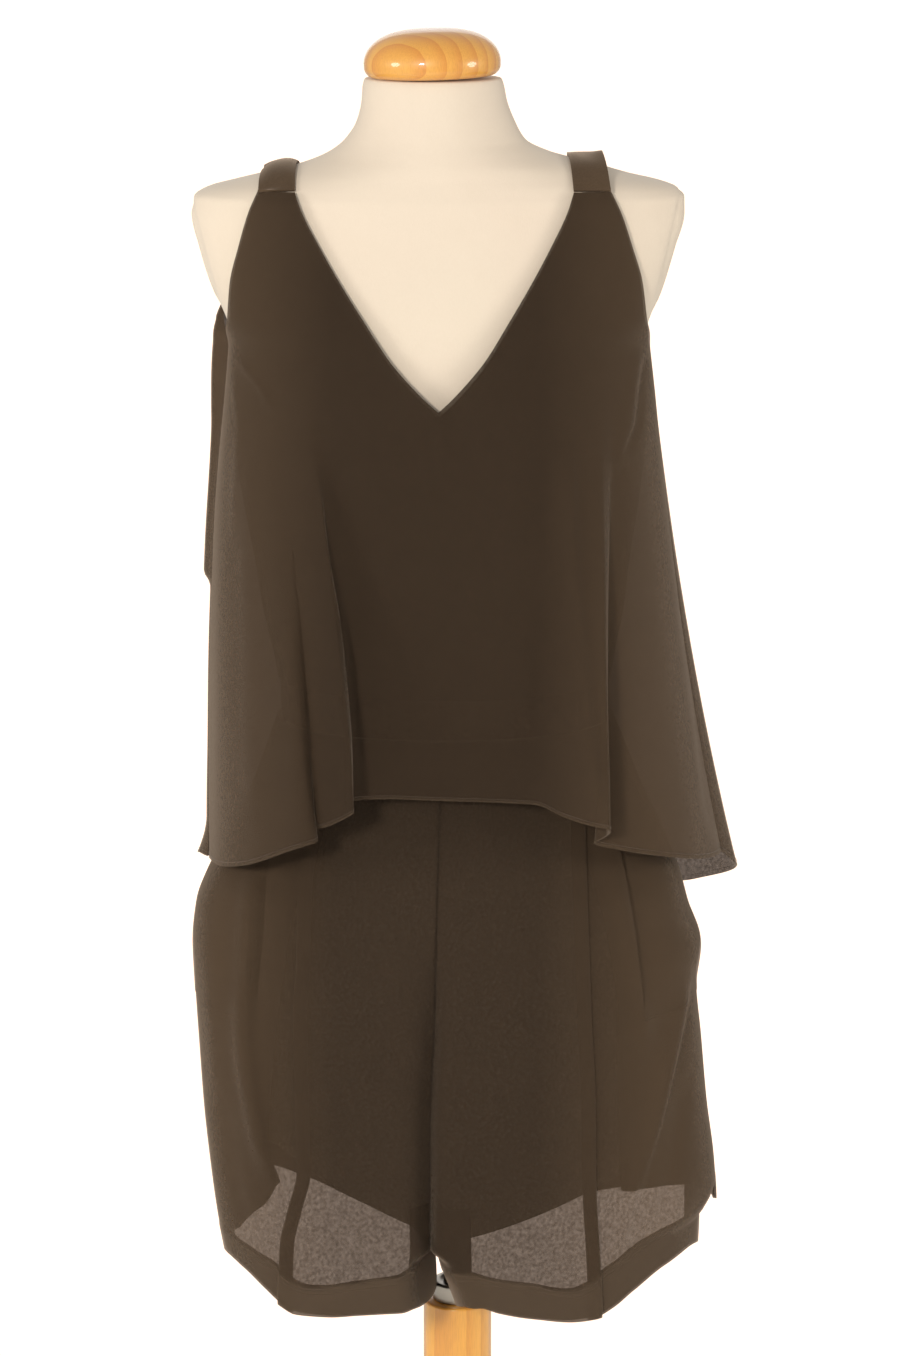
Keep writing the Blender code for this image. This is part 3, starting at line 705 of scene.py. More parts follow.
@dataclass(frozen=True)
class Thread:
    """Sewing thread a shade lighter than its cloth."""

    colour: Colour = (0.075, 0.05, 0.033)
    twist: float = 0.0005

    def material(self) -> Material:
        """Return the thread's material."""
        nodes = Nodes("thread")
        twist = nodes.noise(nodes.place(), self.twist, 1.0)
        tone = nodes.mix(nodes.spread(twist, 0.0, 0.5), self.colour, tuple(1.6 * c for c in self.colour))
        return nodes.finish(Base_Color=tone, Roughness=0.6, Sheen_Weight=0.15,
                            Normal=nodes.bump(twist, 0.4, 0.0002))


@dataclass(frozen=True)
class Jersey:
    """The form's stretched cotton jersey: fine upright ribs of knit, faintly mottled by handling."""

    colour: Colour = (0.69, 0.592, 0.474)
    shade: Colour = (0.628, 0.522, 0.405)
    blush: Colour = (0.672, 0.544, 0.452)
    rib: float = 0.0011

    def material(self) -> Material:
        """Return the jersey's material."""
        nodes = Nodes("jersey")
        place = nodes.place()
        stains = nodes.noise(place, 0.11, 4.0, 0.6, 0.6)
        warmth = nodes.noise(nodes.place(shift=(0.3, 0.1, 0.2)), 0.24, 2.0)
        knit = nodes.noise(nodes.place((1.0, 1.0, 0.35)), self.rib, 2.0, 0.6)
        tone = nodes.mix(nodes.spread(stains, 0.0, 0.3, (0.45, 0.75)), self.colour, self.shade)
        tone = nodes.mix(nodes.spread(warmth, 0.0, 0.45, (0.45, 0.75)), tone, self.blush)
        tone = nodes.mix(nodes.spread(knit, 0.14, 0.0, (0.35, 0.65)), tone, self.shade)
        return nodes.finish(Base_Color=tone, Roughness=0.88, Sheen_Weight=0.12, Sheen_Roughness=0.5,
                            Specular_IOR_Level=0.2, Normal=nodes.bump(knit, 0.22, 0.0004))


class Grain(Enum):
    """How a turned piece of wood is cut from the board."""

    ACROSS = "rings cross the piece in arcs"
    UPRIGHT = "rings run up the piece"
    FLAT = "rings run along the face"


@dataclass(frozen=True)
class Pine:
    """Varnished pine: growth rings, fine pores and a clear gloss coat."""

    pale: Colour = (0.888, 0.444, 0.069)
    dark: Colour = (0.6, 0.215, 0.03)
    ring: float = 0.008
    grain: Grain = Grain.UPRIGHT
    pore: float = 0.0007
    pith: Colour = (0.05, 0.03, 0.0)
    contrast: float = 0.75

    def material(self, name: str) -> Material:
        """Return the wood's material."""
        nodes = Nodes(name)
        scale = {Grain.ACROSS: (1.0, 1.0, 0.2), Grain.UPRIGHT: (1.0, 1.0, 0.06),
                 Grain.FLAT: (0.06, 1.0, 1.0)}[self.grain]
        shift = tuple(-p * s for p, s in zip(self.pith, scale))
        turn = (0.0, math.pi / 2, 0.0) if self.grain is Grain.FLAT else (0.0, 0.0, 0.0)
        place = nodes.place(scale, shift, turn)
        wander = nodes.noise(place, 0.045, 2.0)
        wave = nodes.add("ShaderNodeTexWave", {"Vector": place, "Scale": 1 / self.ring / math.tau * 2,
                                               "Distortion": 2.2, "Detail": 2.0, "Detail Scale": 1.2,
                                               "Detail Roughness": 0.5},
                         wave_type="RINGS", rings_direction="Z", wave_profile="SAW").outputs["Fac"]
        pores = nodes.noise(nodes.place(scale), self.pore, 2.0)
        bands = nodes.math("MULTIPLY", nodes.math("POWER", wave, 1.8), self.contrast)
        tone = nodes.mix(bands, self.pale, self.dark)
        tone = nodes.mix(nodes.spread(wander, 0.0, 0.35), tone, self.dark)
        pored = tuple(0.6 * c for c in self.dark)
        tone = nodes.mix(nodes.spread(pores, 0.22, 0.0, (0.3, 0.6)), tone, pored)
        return nodes.finish(Base_Color=tone, Roughness=nodes.spread(pores, 0.34, 0.46), Coat_Weight=0.65,
                            Coat_Roughness=0.07, Normal=nodes.bump(pores, 0.08, 0.0003))


@dataclass(frozen=True)
class Steel:
    """Satin metal with faint turning marks."""

    colour: Colour = (0.36, 0.32, 0.27)
    marks: float = 0.0009

    def material(self) -> Material:
        """Return the metal's material."""
        nodes = Nodes("steel")
        marks = nodes.noise(nodes.place((0.08, 0.08, 1.0)), self.marks, 2.0)
        stain = nodes.noise(nodes.place(), 0.02, 3.0)
        tone = nodes.mix(nodes.spread(stain, 0.0, 0.3), self.colour, tuple(0.7 * c for c in self.colour))
        return nodes.finish(Base_Color=tone, Metallic=1.0, Roughness=nodes.spread(marks, 0.28, 0.42),
                            Normal=nodes.bump(marks, 0.1, 0.0002))


# ---- making meshes


def place_object(name: str, data: bpy.types.ID) -> Thing:
    """Put a mesh, a lamp or a camera into the scene."""
    thing = bpy.data.objects.new(name, data)
    bpy.context.scene.collection.objects.link(thing)
    return thing


def settle(thing: Thing) -> Thing:
    """Turn an object's modifiers into plain mesh and mark its sharp edges.

    Args:
        thing: The object.

    Returns:
        The same object.
    """
    graph = bpy.context.evaluated_depsgraph_get()
    mesh = bpy.data.meshes.new_from_object(thing.evaluated_get(graph), depsgraph=graph)
    thing.modifiers.clear()
    old, thing.data = thing.data, mesh
    bpy.data.meshes.remove(old)
    mesh.name = thing.name
    mesh.shade_smooth()
    mesh.set_sharp_from_angle(angle=SHARP)
    return thing


def make_mesh(name: str, points: Array, faces: Array, edge: Array | None = None) -> Thing:
    """Make an object from points and four-cornered faces, joined where points meet.

    Args:
        name: The object's name.
        points: The points, one in each row.
        faces: The corners of each face.
        edge: How much each point belongs to a rolled edge.

    Returns:
        The linked object.
    """
    mesh = bpy.data.meshes.new(name)
    mesh.from_pydata(points.tolist(), [], faces.tolist())
    layer = mesh.attributes.new("edge", "FLOAT", "POINT")
    layer.data.foreach_set("value", np.zeros(len(points)) if edge is None else edge)
    shape = bmesh.new()
    shape.from_mesh(mesh)
    bmesh.ops.remove_doubles(shape, verts=shape.verts, dist=2e-6)
    bmesh.ops.dissolve_degenerate(shape, edges=shape.edges, dist=1e-7)
    shape.to_mesh(mesh)
    shape.free()
    return place_object(name, mesh)


def make_cloth(name: str, stretches: Sequence[Stretch], material: Material,
               wall: float = WALL, hem_wall: float = HEM_WALL) -> Thing:
    """Make one piece of cloth, with a wall that is thicker at its rolled edges.

    Args:
        name: The piece's name.
        stretches: Its stretches, joined where they share points.
        material: Its finish.
        wall: How thick the cloth is.
        hem_wall: How thick a rolled edge is.

    Returns:
        The piece.
    """
    points, faces, edges, start = [], [], [], 0
    for stretch in stretches:
        rows, columns = stretch.points.shape[:2]
        index = np.arange(rows * columns).reshape(rows, columns) + start
        quads = np.stack((index[:-1, :-1], index[1:, :-1], index[1:, 1:], index[:-1, 1:]), -1).reshape(-1, 4)
        faces.append(quads if stretch.outward > 0 else quads[:, ::-1])
        points.append(stretch.points.reshape(-1, 3))
        edges.append(np.zeros(rows * columns) if stretch.edge is None else stretch.edge.reshape(-1))
        start += rows * columns
    thing = make_mesh(name, np.concatenate(points), np.concatenate(faces), np.concatenate(edges))
    thing.data.materials.append(material)
    group = thing.vertex_groups.new(name="edge")
    weights = np.zeros(len(thing.data.vertices))
    thing.data.attributes["edge"].data.foreach_get("value", weights)
    levels = 8
    for level in range(1, levels + 1):
        chosen = np.nonzero(np.round(weights * levels) == level)[0]
        group.add(chosen.tolist(), level / levels, "REPLACE")
    solid = thing.modifiers.new("Wall", "SOLIDIFY")
    solid.thickness = hem_wall
    solid.offset = 0.0
    solid.vertex_group = group.name
    solid.thickness_vertex_group = wall / hem_wall
    settle(thing)
    thing.vertex_groups.clear()
    return thing


def make_loft(name: str, rows: Array, material: Material) -> Thing:
    """Make a closed body from level loops of points.

    Args:
        name: The piece's name.
        rows: The loops from the lowest up; the first and the last are each one point, repeated.
        material: Its finish.

    Returns:
        The piece.
    """
    count, around = rows.shape[:2]
    index = np.arange(count * around).reshape(count, around)
    turned = np.roll(index, -1, axis=1)
    quads = np.stack((index[:-1], turned[:-1], turned[1:], index[1:]), -1).reshape(-1, 4)
    thing = make_mesh(name, rows.reshape(-1, 3), quads)
    thing.data.materials.append(material)
    return settle(thing)


def middle_of_foot(node: str) -> Vector:
    """Return the middle of the lower face of a node's box."""
    low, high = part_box(node)
    return Vector(((low.x + high.x) / 2, (low.y + high.y) / 2, low.z))


def turned_rows(profile: Sequence[tuple[float, float]], centre: Vector, around: int,
                tilt: float = 0.0) -> Array:
    """Return the loops of a turned shape.

    Args:
        profile: (radius, height) from the centre of its foot to the centre of its top.
        centre: Where its foot's centre is.
        around: How many points a loop has.
        tilt: How far it leans towards -X, in radians.

    Returns:
        The loops of points.
    """
    angles = math.tau * np.arange(around) / around
    radius, height = (np.array(column)[:, None] for column in zip(*profile))
    x, y = radius * np.sin(angles), -radius * np.cos(angles)
    level, upright = math.cos(tilt), math.sin(tilt)
    return stack(x * level - height * upright, y, height * level + x * upright) + np.array(centre)


def arc(centre: tuple[float, float], radius: float, start: float, end: float,
        count: int) -> list[tuple[float, float]]:
    """Return points of an arc of a profile, its angles in degrees from the outward direction."""
    angles = np.radians(np.linspace(start, end, count))
    return [(centre[0] + radius * math.cos(a), centre[1] + radius * math.sin(a)) for a in angles]


# ---- stitches


@dataclass(frozen=True)
class Stitching:
    """Running stitches laid along a line by geometry nodes."""

    length: float = 0.0021
    pitch: float = 0.003
    radius: float = 0.00022
    sides: int = 6

    def tree(self) -> bpy.types.NodeTree:
        """Return the node tree, with the stitch's sizes as named inputs."""
        tree = bpy.data.node_groups.new("Stitches", "GeometryNodeTree")
        face = tree.interface
        face.new_socket("Geometry", in_out="INPUT", socket_type="NodeSocketGeometry")
        for name, value in (("Pitch", self.pitch), ("Length", self.length), ("Radius", self.radius)):
            face.new_socket(name, in_out="INPUT", socket_type="NodeSocketFloat").default_value = value
        face.new_socket("Material", in_out="INPUT", socket_type="NodeSocketMaterial")
        face.new_socket("Geometry", in_out="OUTPUT", socket_type="NodeSocketGeometry")
        add = tree.nodes.new
        start, end = add("NodeGroupInput"), add("NodeGroupOutput")
        curve = add("GeometryNodeMeshToCurve")
        spaced = add("GeometryNodeResampleCurve")
        spaced.mode = "LENGTH"
        stitch = add("GeometryNodeMeshCylinder")
        stitch.inputs["Vertices"].default_value = self.sides
        aim = add("FunctionNodeAlignRotationToVector")
        aim.axis = "Z"
        tangent = add("GeometryNodeInputTangent")
        copies = add("GeometryNodeInstanceOnPoints")
        real = add("GeometryNodeRealizeInstances")
        dressed = add("GeometryNodeSetMaterial")
        for source, output, target, socket in (
            (start, "Geometry", curve, "Mesh"), (curve, "Curve", spaced, "Curve"),
            (start, "Pitch", spaced, "Length"), (start, "Radius", stitch, "Radius"),
            (start, "Length", stitch, "Depth"), (tangent, "Tangent", aim, "Vector"),
            (spaced, "Curve", copies, "Points"), (stitch, "Mesh", copies, "Instance"),
            (aim, "Rotation", copies, "Rotation"), (copies, "Instances", real, "Geometry"),
            (real, "Geometry", dressed, "Geometry"), (start, "Material", dressed, "Material"),
            (dressed, "Geometry", end, "Geometry"),
        ):
            tree.links.new(source.outputs[output], target.inputs[socket])
        return tree

    def along(self, name: str, lines: Sequence[Array], material: Material) -> Thing:
        """Sew along lines.

        Args:
            name: The piece's name.
            lines: The lines' points, one in each row.
            material: The thread.

        Returns:
            The stitches as one plain mesh.
        """
        mesh = bpy.data.meshes.new(name)
        points = np.concatenate(lines)
        links, start = [], 0
        for line in lines:
            links += [(start + i, start + i + 1) for i in range(len(line) - 1)]
            start += len(line)
        mesh.from_pydata(points.tolist(), links, [])
        thing = place_object(name, mesh)
        sewn = thing.modifiers.new("Stitches", "NODES")
        sewn.node_group = self.tree()
        sockets = {item.name: item.identifier for item in sewn.node_group.interface.items_tree
                   if item.in_out == "INPUT"}
        sewn[sockets["Pitch"]] = self.pitch
        sewn[sockets["Length"]] = self.length
        sewn[sockets["Radius"]] = self.radius
        sewn[sockets["Material"]] = material
        return settle(thing)


# ---- the form and its stand


def carried(piece: Thing, slot: str, *nodes: str) -> Thing:
    """Fix a piece to the part's one body and hide the nodes of the frame that it stands for.

    Args:
        piece: The piece.
        slot: Not used.
        nodes: The nodes of the frame that it stands for.

    Returns:
        The piece.
    """
    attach(piece, BODY)
    if nodes:
        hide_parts(*nodes)
    LOG.info("%s: %d faces", piece.name, len(piece.data.polygons))
    return piece


@dataclass
class DressForm:
    """The limbless torso in jersey and the turned cap on its neck.

    `shoulder` gives where the finer loops start and end, and their step. Each arm plate stands out
    behind a groove; `sideways` is how much of the groove and of the plate goes across, and `inwards`
    how strongly both draw the section in.
    """

    around: int = 200
    step: float = 0.0042
    shoulder: tuple[float, float, float] = (1.335, 1.392, 0.0016)
    neck_from: float = 1.394
    neck_step: float = 0.003
    neck_crown: float = 0.0008
    rim_rise: tuple[float, float] = (0.0764, 0.0559)
    rim_bend: float = 1.2
    rim_fade: float = 0.07
    under_rows: int = 16
    under_bend: float = 0.8
    bore_gap: float = 0.0006
    plate_low: tuple[float, float] = (0.16, 1.262)
    plate_high: tuple[float, float] = (0.18, 1.345)
    plate_foot: float = 1.225
    plate_foot_fade: float = 0.03
    plate_head: float = 1.356
    plate_edge: float = 0.004
    plate_out: float = 0.002
    plate_in: float = 0.0004
    groove: float = 0.0013
    groove_wide: float = 0.0016
    sideways: tuple[float, float] = (0.7, 0.2)
    inwards: float = 8.0
    cap_tilt: float = math.radians(1.6)
    cap_widest: float = 0.011
    cap_seat: float = 0.0024
    cap_round: float = 0.008
    cap_foot: float = 0.0004
    cap_bends: tuple[float, float] = (0.7, 1.04)

    def level(self, height: Array) -> Array:
        """Return the loops of the torso at heights, upright."""
        angle = math.tau * np.arange(self.around) / self.around
        height = height[:, None]
        section = FORM.section(height)
        x, y = section.around(angle)
        y -= FORM.bust.at(x, height) * np.sqrt(np.maximum(np.cos(angle), 0.0))
        rise = np.where(x < 0, *self.rim_rise)
        rise = rise * np.maximum(0.0, 1 - (height - FORM_RINGS[0].height) / self.rim_fade)
        return stack(x, y, height + rise * (np.abs(x) / section.left) ** self.rim_bend)

    def plated(self, points: Array) -> Array:
        """Set the round plates into the arm ends, each behind a fine groove."""
        (low_x, low_z), (high_x, high_z) = self.plate_low, self.plate_high
        run = math.hypot(high_x - low_x, high_z - low_z)
        past = ((np.abs(points[..., 0]) - low_x) * (high_z - low_z)
                - (points[..., 2] - low_z) * (high_x - low_x)) / run
        reach = (smooth((points[..., 2] - self.plate_foot) / self.plate_foot_fade)
                 * smooth((self.plate_head - points[..., 2]) / self.plate_edge))
        groove = -self.groove * np.exp(-(past / self.groove_wide) ** 2) * reach
        crown = self.plate_out * smooth(past / self.plate_edge) * reach
        of_groove, of_crown = self.sideways
        points = points.copy()
        points[..., 0] += np.sign(points[..., 0]) * (groove * of_groove + crown * of_crown)
        narrower = groove - self.plate_in * smooth(past / (self.plate_edge / 2))
        points[..., 1] *= 1 + narrower * reach * self.inwards
        return points

    def torso(self, material: Material) -> Thing:
        """Build the torso: its V-shaped bottom round the tube, its sides, shoulders and neck."""
        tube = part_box("stand_tube")
        bore = (tube[1].x - tube[0].x) / 2 + self.bore_gap
        low, high = FORM_RINGS[0].height, FORM_RINGS[-1].height
        ceiling = tube[1].z - low + 0.0005
        heights = np.concatenate((np.arange(low, self.shoulder[0], self.step), np.arange(*self.shoulder),
                                  np.arange(self.neck_from, high, self.neck_step), [high]))
        sides = leaned(self.plated(self.level(heights)))
        bore_profile = ((0.0, ceiling), (bore, ceiling), (bore, -0.001))
        hole = turned_rows(bore_profile, Vector((0, 0, low)), self.around)
        shares = smooth(np.linspace(0.0, 1.0, self.under_rows)[1:-1])[:, None, None] ** self.under_bend
        under = sides[0] * shares + hole[-1] * (1 - shares)
        edge = sides[-1]
        middle = edge.mean(axis=0)
        inner = [middle + (edge - middle) * share + (0, 0, self.neck_crown) for share in (0.985, 0.5, 0.0)]
        rows = np.concatenate((hole, under, sides, np.array(inner)))
        return carried(make_loft("torso_jersey", rows, material), "jersey", "form_torso")

    def cap(self, material: Material) -> Thing:
        """Build the neck cap: a low dome over a rounded rim."""
        low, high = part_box("neck_cap")
        low.z -= self.cap_seat
        radius = (high.x - low.x) / 2
        height = (high.z - low.z) - (high.x - low.x) * math.sin(self.cap_tilt) / 2
        foot = Vector(((low.x + high.x) / 2, (low.y + high.y) / 2, low.z + radius * math.sin(self.cap_tilt)))
        side_bend, top_bend = self.cap_bends
        crown = height - self.cap_widest
        dome = [(radius * math.cos(a) ** side_bend, self.cap_widest + crown * math.sin(a) ** top_bend)
                for a in np.linspace(0, math.pi / 2, 34)]
        dome[-1] = (0.0, dome[-1][1])
        rim = arc((radius - self.cap_round, self.cap_widest - 0.0025), self.cap_round, -74, -8, 9)
        profile = [(0.0, self.cap_foot), (radius - 0.0075, self.cap_foot), *rim, *dome]
        piece = make_loft("cap_turned", turned_rows(profile, foot, 112, self.cap_tilt), material)
        return carried(piece, "pine", "neck_cap")

    def build(self, jersey: Jersey, pine: Pine) -> None:
        """Build both pieces with their finishes."""
        self.torso(jersey.material())
        self.cap(pine.material("pine_cap"))


@dataclass
class Stand:
    """The round base, the wooden column, and the clamp and tube that carry the form."""

    around: int = 128
    base_round: float = 0.009
    column_round: float = 0.002

    def piece(self, name: str, node: str, profile: Sequence[tuple[float, float]], slot: str,
              material: Material) -> Thing:
        """Build one turned piece where its node stands."""
        rows = turned_rows(profile, middle_of_foot(node), self.around)
        return carried(make_loft(name, rows, material), slot, node)

    def round_block(self, node: str, top: float, bottom: float,
                    bore: float = 0.0) -> list[tuple[float, float]]:
        """Return the profile of a round block with rounded edges, as large as its node."""
        low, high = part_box(node)
        radius, height = (high.x - low.x) / 2, high.z - low.z
        foot = arc((radius - bottom, bottom), bottom, -90, 0, 6)
        head = arc((radius - top, height - top), top, 0, 90, 10)
        if not bore:
            return [(0.0, 0.0), (radius * 0.5, 0.0), *foot, *head, (radius * 0.5, height), (0.0, height)]
        inner = [(bore + 0.0005, height), (bore, height - 0.0005), (bore, 0.0005), (bore + 0.0005, 0.0)]
        return [inner[3], *foot, *head, *inner[:3], inner[3]]

    def build(self, column: Pine, base: Pine, steel: Steel) -> None:
        """Build the four pieces with their finishes."""
        tube_low, tube_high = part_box("stand_tube")
        bore = (tube_high.x - tube_low.x) / 2 + 0.0003
        metal = steel.material()
        for name, node, rounds, slot, material in (
            ("base_disc", "stand_base", (self.base_round, 0.003), "pine", base.material("pine_base")),
            ("column_turned", "stand_column", (self.column_round, 0.001), "pine",
             column.material("pine_column")),
            ("clamp_ring", "stand_clamp", (0.0022, 0.001, bore), "steel", metal),
            ("tube_steel", "stand_tube", (0.001, 0.001), "steel", metal),
        ):
            self.piece(name, node, self.round_block(node, *rounds), slot, material)


# ---- the cloth


@dataclass(frozen=True)
class Cut:
    """The flat size a piece of cloth was cut to, and the share of that rectangle that it fills."""

    width: float
    length: float
    filled: float = 0.8

    def declare(self, piece: Thing, rests_on: Sequence[str],
                with_pieces: Sequence[Thing] = ()) -> None:
        """Take the piece, what it rests on and the pieces sewn to it; nothing is done with them."""


@dataclass(frozen=True)
class Layer:
    """A layer of the top half: how far it lies off the form, and how much it slackens."""

    lift: float
    loose: float = 0.0
    side_in: float = 0.0
    bulge: float = 0.0
    under: float = 0.0

    NECK_FRONT = Curve((APEX, 1.211, 1.233, 1.24, 1.265, 1.29, 1.315, 1.34, STRAP_SEAM),
                       (0.0, 0.0095, 0.03, 0.0355, 0.052, 0.068, 0.0825, 0.0955, 0.101))
    ARM_FRONT = Curve((APEX, 1.233, 1.24, 1.265, 1.29, 1.315, 1.34, STRAP_SEAM),
                      (0.1545, 0.1585, 0.156, 0.153, 0.15, 0.143, 0.135, 0.128))
    NECK_BACK = Curve((APEX, SCOOP, 1.2505, 1.254, 1.27, 1.29, BACK_TOP),
                      (0.0, 0.0, 0.006, 0.03, 0.062, 0.085, 0.101))
    ARM_BACK = Curve((APEX, SCOOP, 1.254, 1.27, 1.29, BACK_TOP),
                     (0.1545, 0.156, 0.157, 0.153, 0.14, 0.128))
    SEAM_LEFT = Curve((APEX, UNDERARM), (0.159, 0.155))
    SEAM_RIGHT = Curve((APEX, UNDERARM), (0.161, 0.1575))
    BULGE = Curve((0.95, 1.05, 1.06, 1.118, 1.17, 1.2025, 1.236, 1.258, 1.3),
                  (0.0, 0.0, 0.0085, 0.008, 0.01, 0.014, 0.0155, 0.009, 0.0))
    EASE = 0.006
    EASE_TOP = 1.31
    EASE_TUCK = 0.06
    BULGE_AT = -0.9
    BULGE_WIDE = 0.11
    BULGE_FADE = 0.02
    SIDE_FADE = 0.05
    SEWN_FADE = 0.04

    def ease(self, z: Array) -> Array:
        """Return how much further a layer stands off the body from the chest down to the waist."""
        falls = smooth((self.EASE_TOP - z) / (self.EASE_TOP - APEX))
        return self.EASE * falls * smooth((z - WAIST_TOP) / self.EASE_TUCK)

    def back_bulge(self, across: Array, z: Array) -> Array:
        """Return how far the back stands out to the left behind its side seam."""
        near = smooth((across + 1) / self.SIDE_FADE)
        sewn = smooth((UNDERARM + self.BULGE_FADE - z) / self.BULGE_FADE)
        out = self.BULGE(z) * np.exp(-((across - self.BULGE_AT) / self.BULGE_WIDE) ** 2)
        return out * (1 - sewn * (1 - near)) * self.bulge

    def chest(self, across: Array, z: Array, facing: Facing) -> tuple[Array, Array]:
        """Find the layer over the chest or the shoulder blades.

        Args:
            across: From -1 at the left edge to 1 at the right edge; 0 is the neckline or the centre.
            z: The heights.
            facing: Front or back.

        Returns:
            x and y there.
        """
        lift = self.lift + self.loose * np.sin(np.pi * np.abs(across)) + self.ease(z)
        section = FORM.section(z, lift)
        turn = np.clip((z - UNDERARM) / (ARM_TURN - UNDERARM), 0.0, 1.0)
        sewn = (1 - smooth(turn)) * smooth((z - APEX + self.SEWN_FADE) / self.SEWN_FADE)
        inner = np.clip(z, APEX, UNDERARM)
        left = section.left + (self.SEAM_LEFT(inner) - self.side_in - section.left) * sewn
        right = section.right + (self.SEAM_RIGHT(inner) - self.side_in - section.right) * sewn
        section = section._replace(left=left, right=right)
        front = facing is Facing.FRONT
        neck = (self.NECK_FRONT if front else self.NECK_BACK)(z + self.under)
        arm = (self.ARM_FRONT if front else self.ARM_BACK)(z)
        half = np.where(across > 0, right, left)
        edge = np.minimum(arm, half) - self.side_in / 2
        opened = rounded(edge / half, section.square) * np.sqrt(1 - (1 - turn) ** 2)
        outer = half * (1 - opened ** section.square) ** (1 / section.square)
        reach = np.abs(np.sin(across * np.pi / 2)) ** (2 / section.square)
        x = np.sign(across) * (neck + (outer - neck) * reach)
        y = FORM.depth(section, x, z, facing)
        if not front:
            x = x - self.back_bulge(across, z)
        return x, y


BODICE = Layer(lift=0.0037, side_in=0.0025, under=0.004)
TOP = Layer(lift=0.0055, loose=0.0032, bulge=1.0)


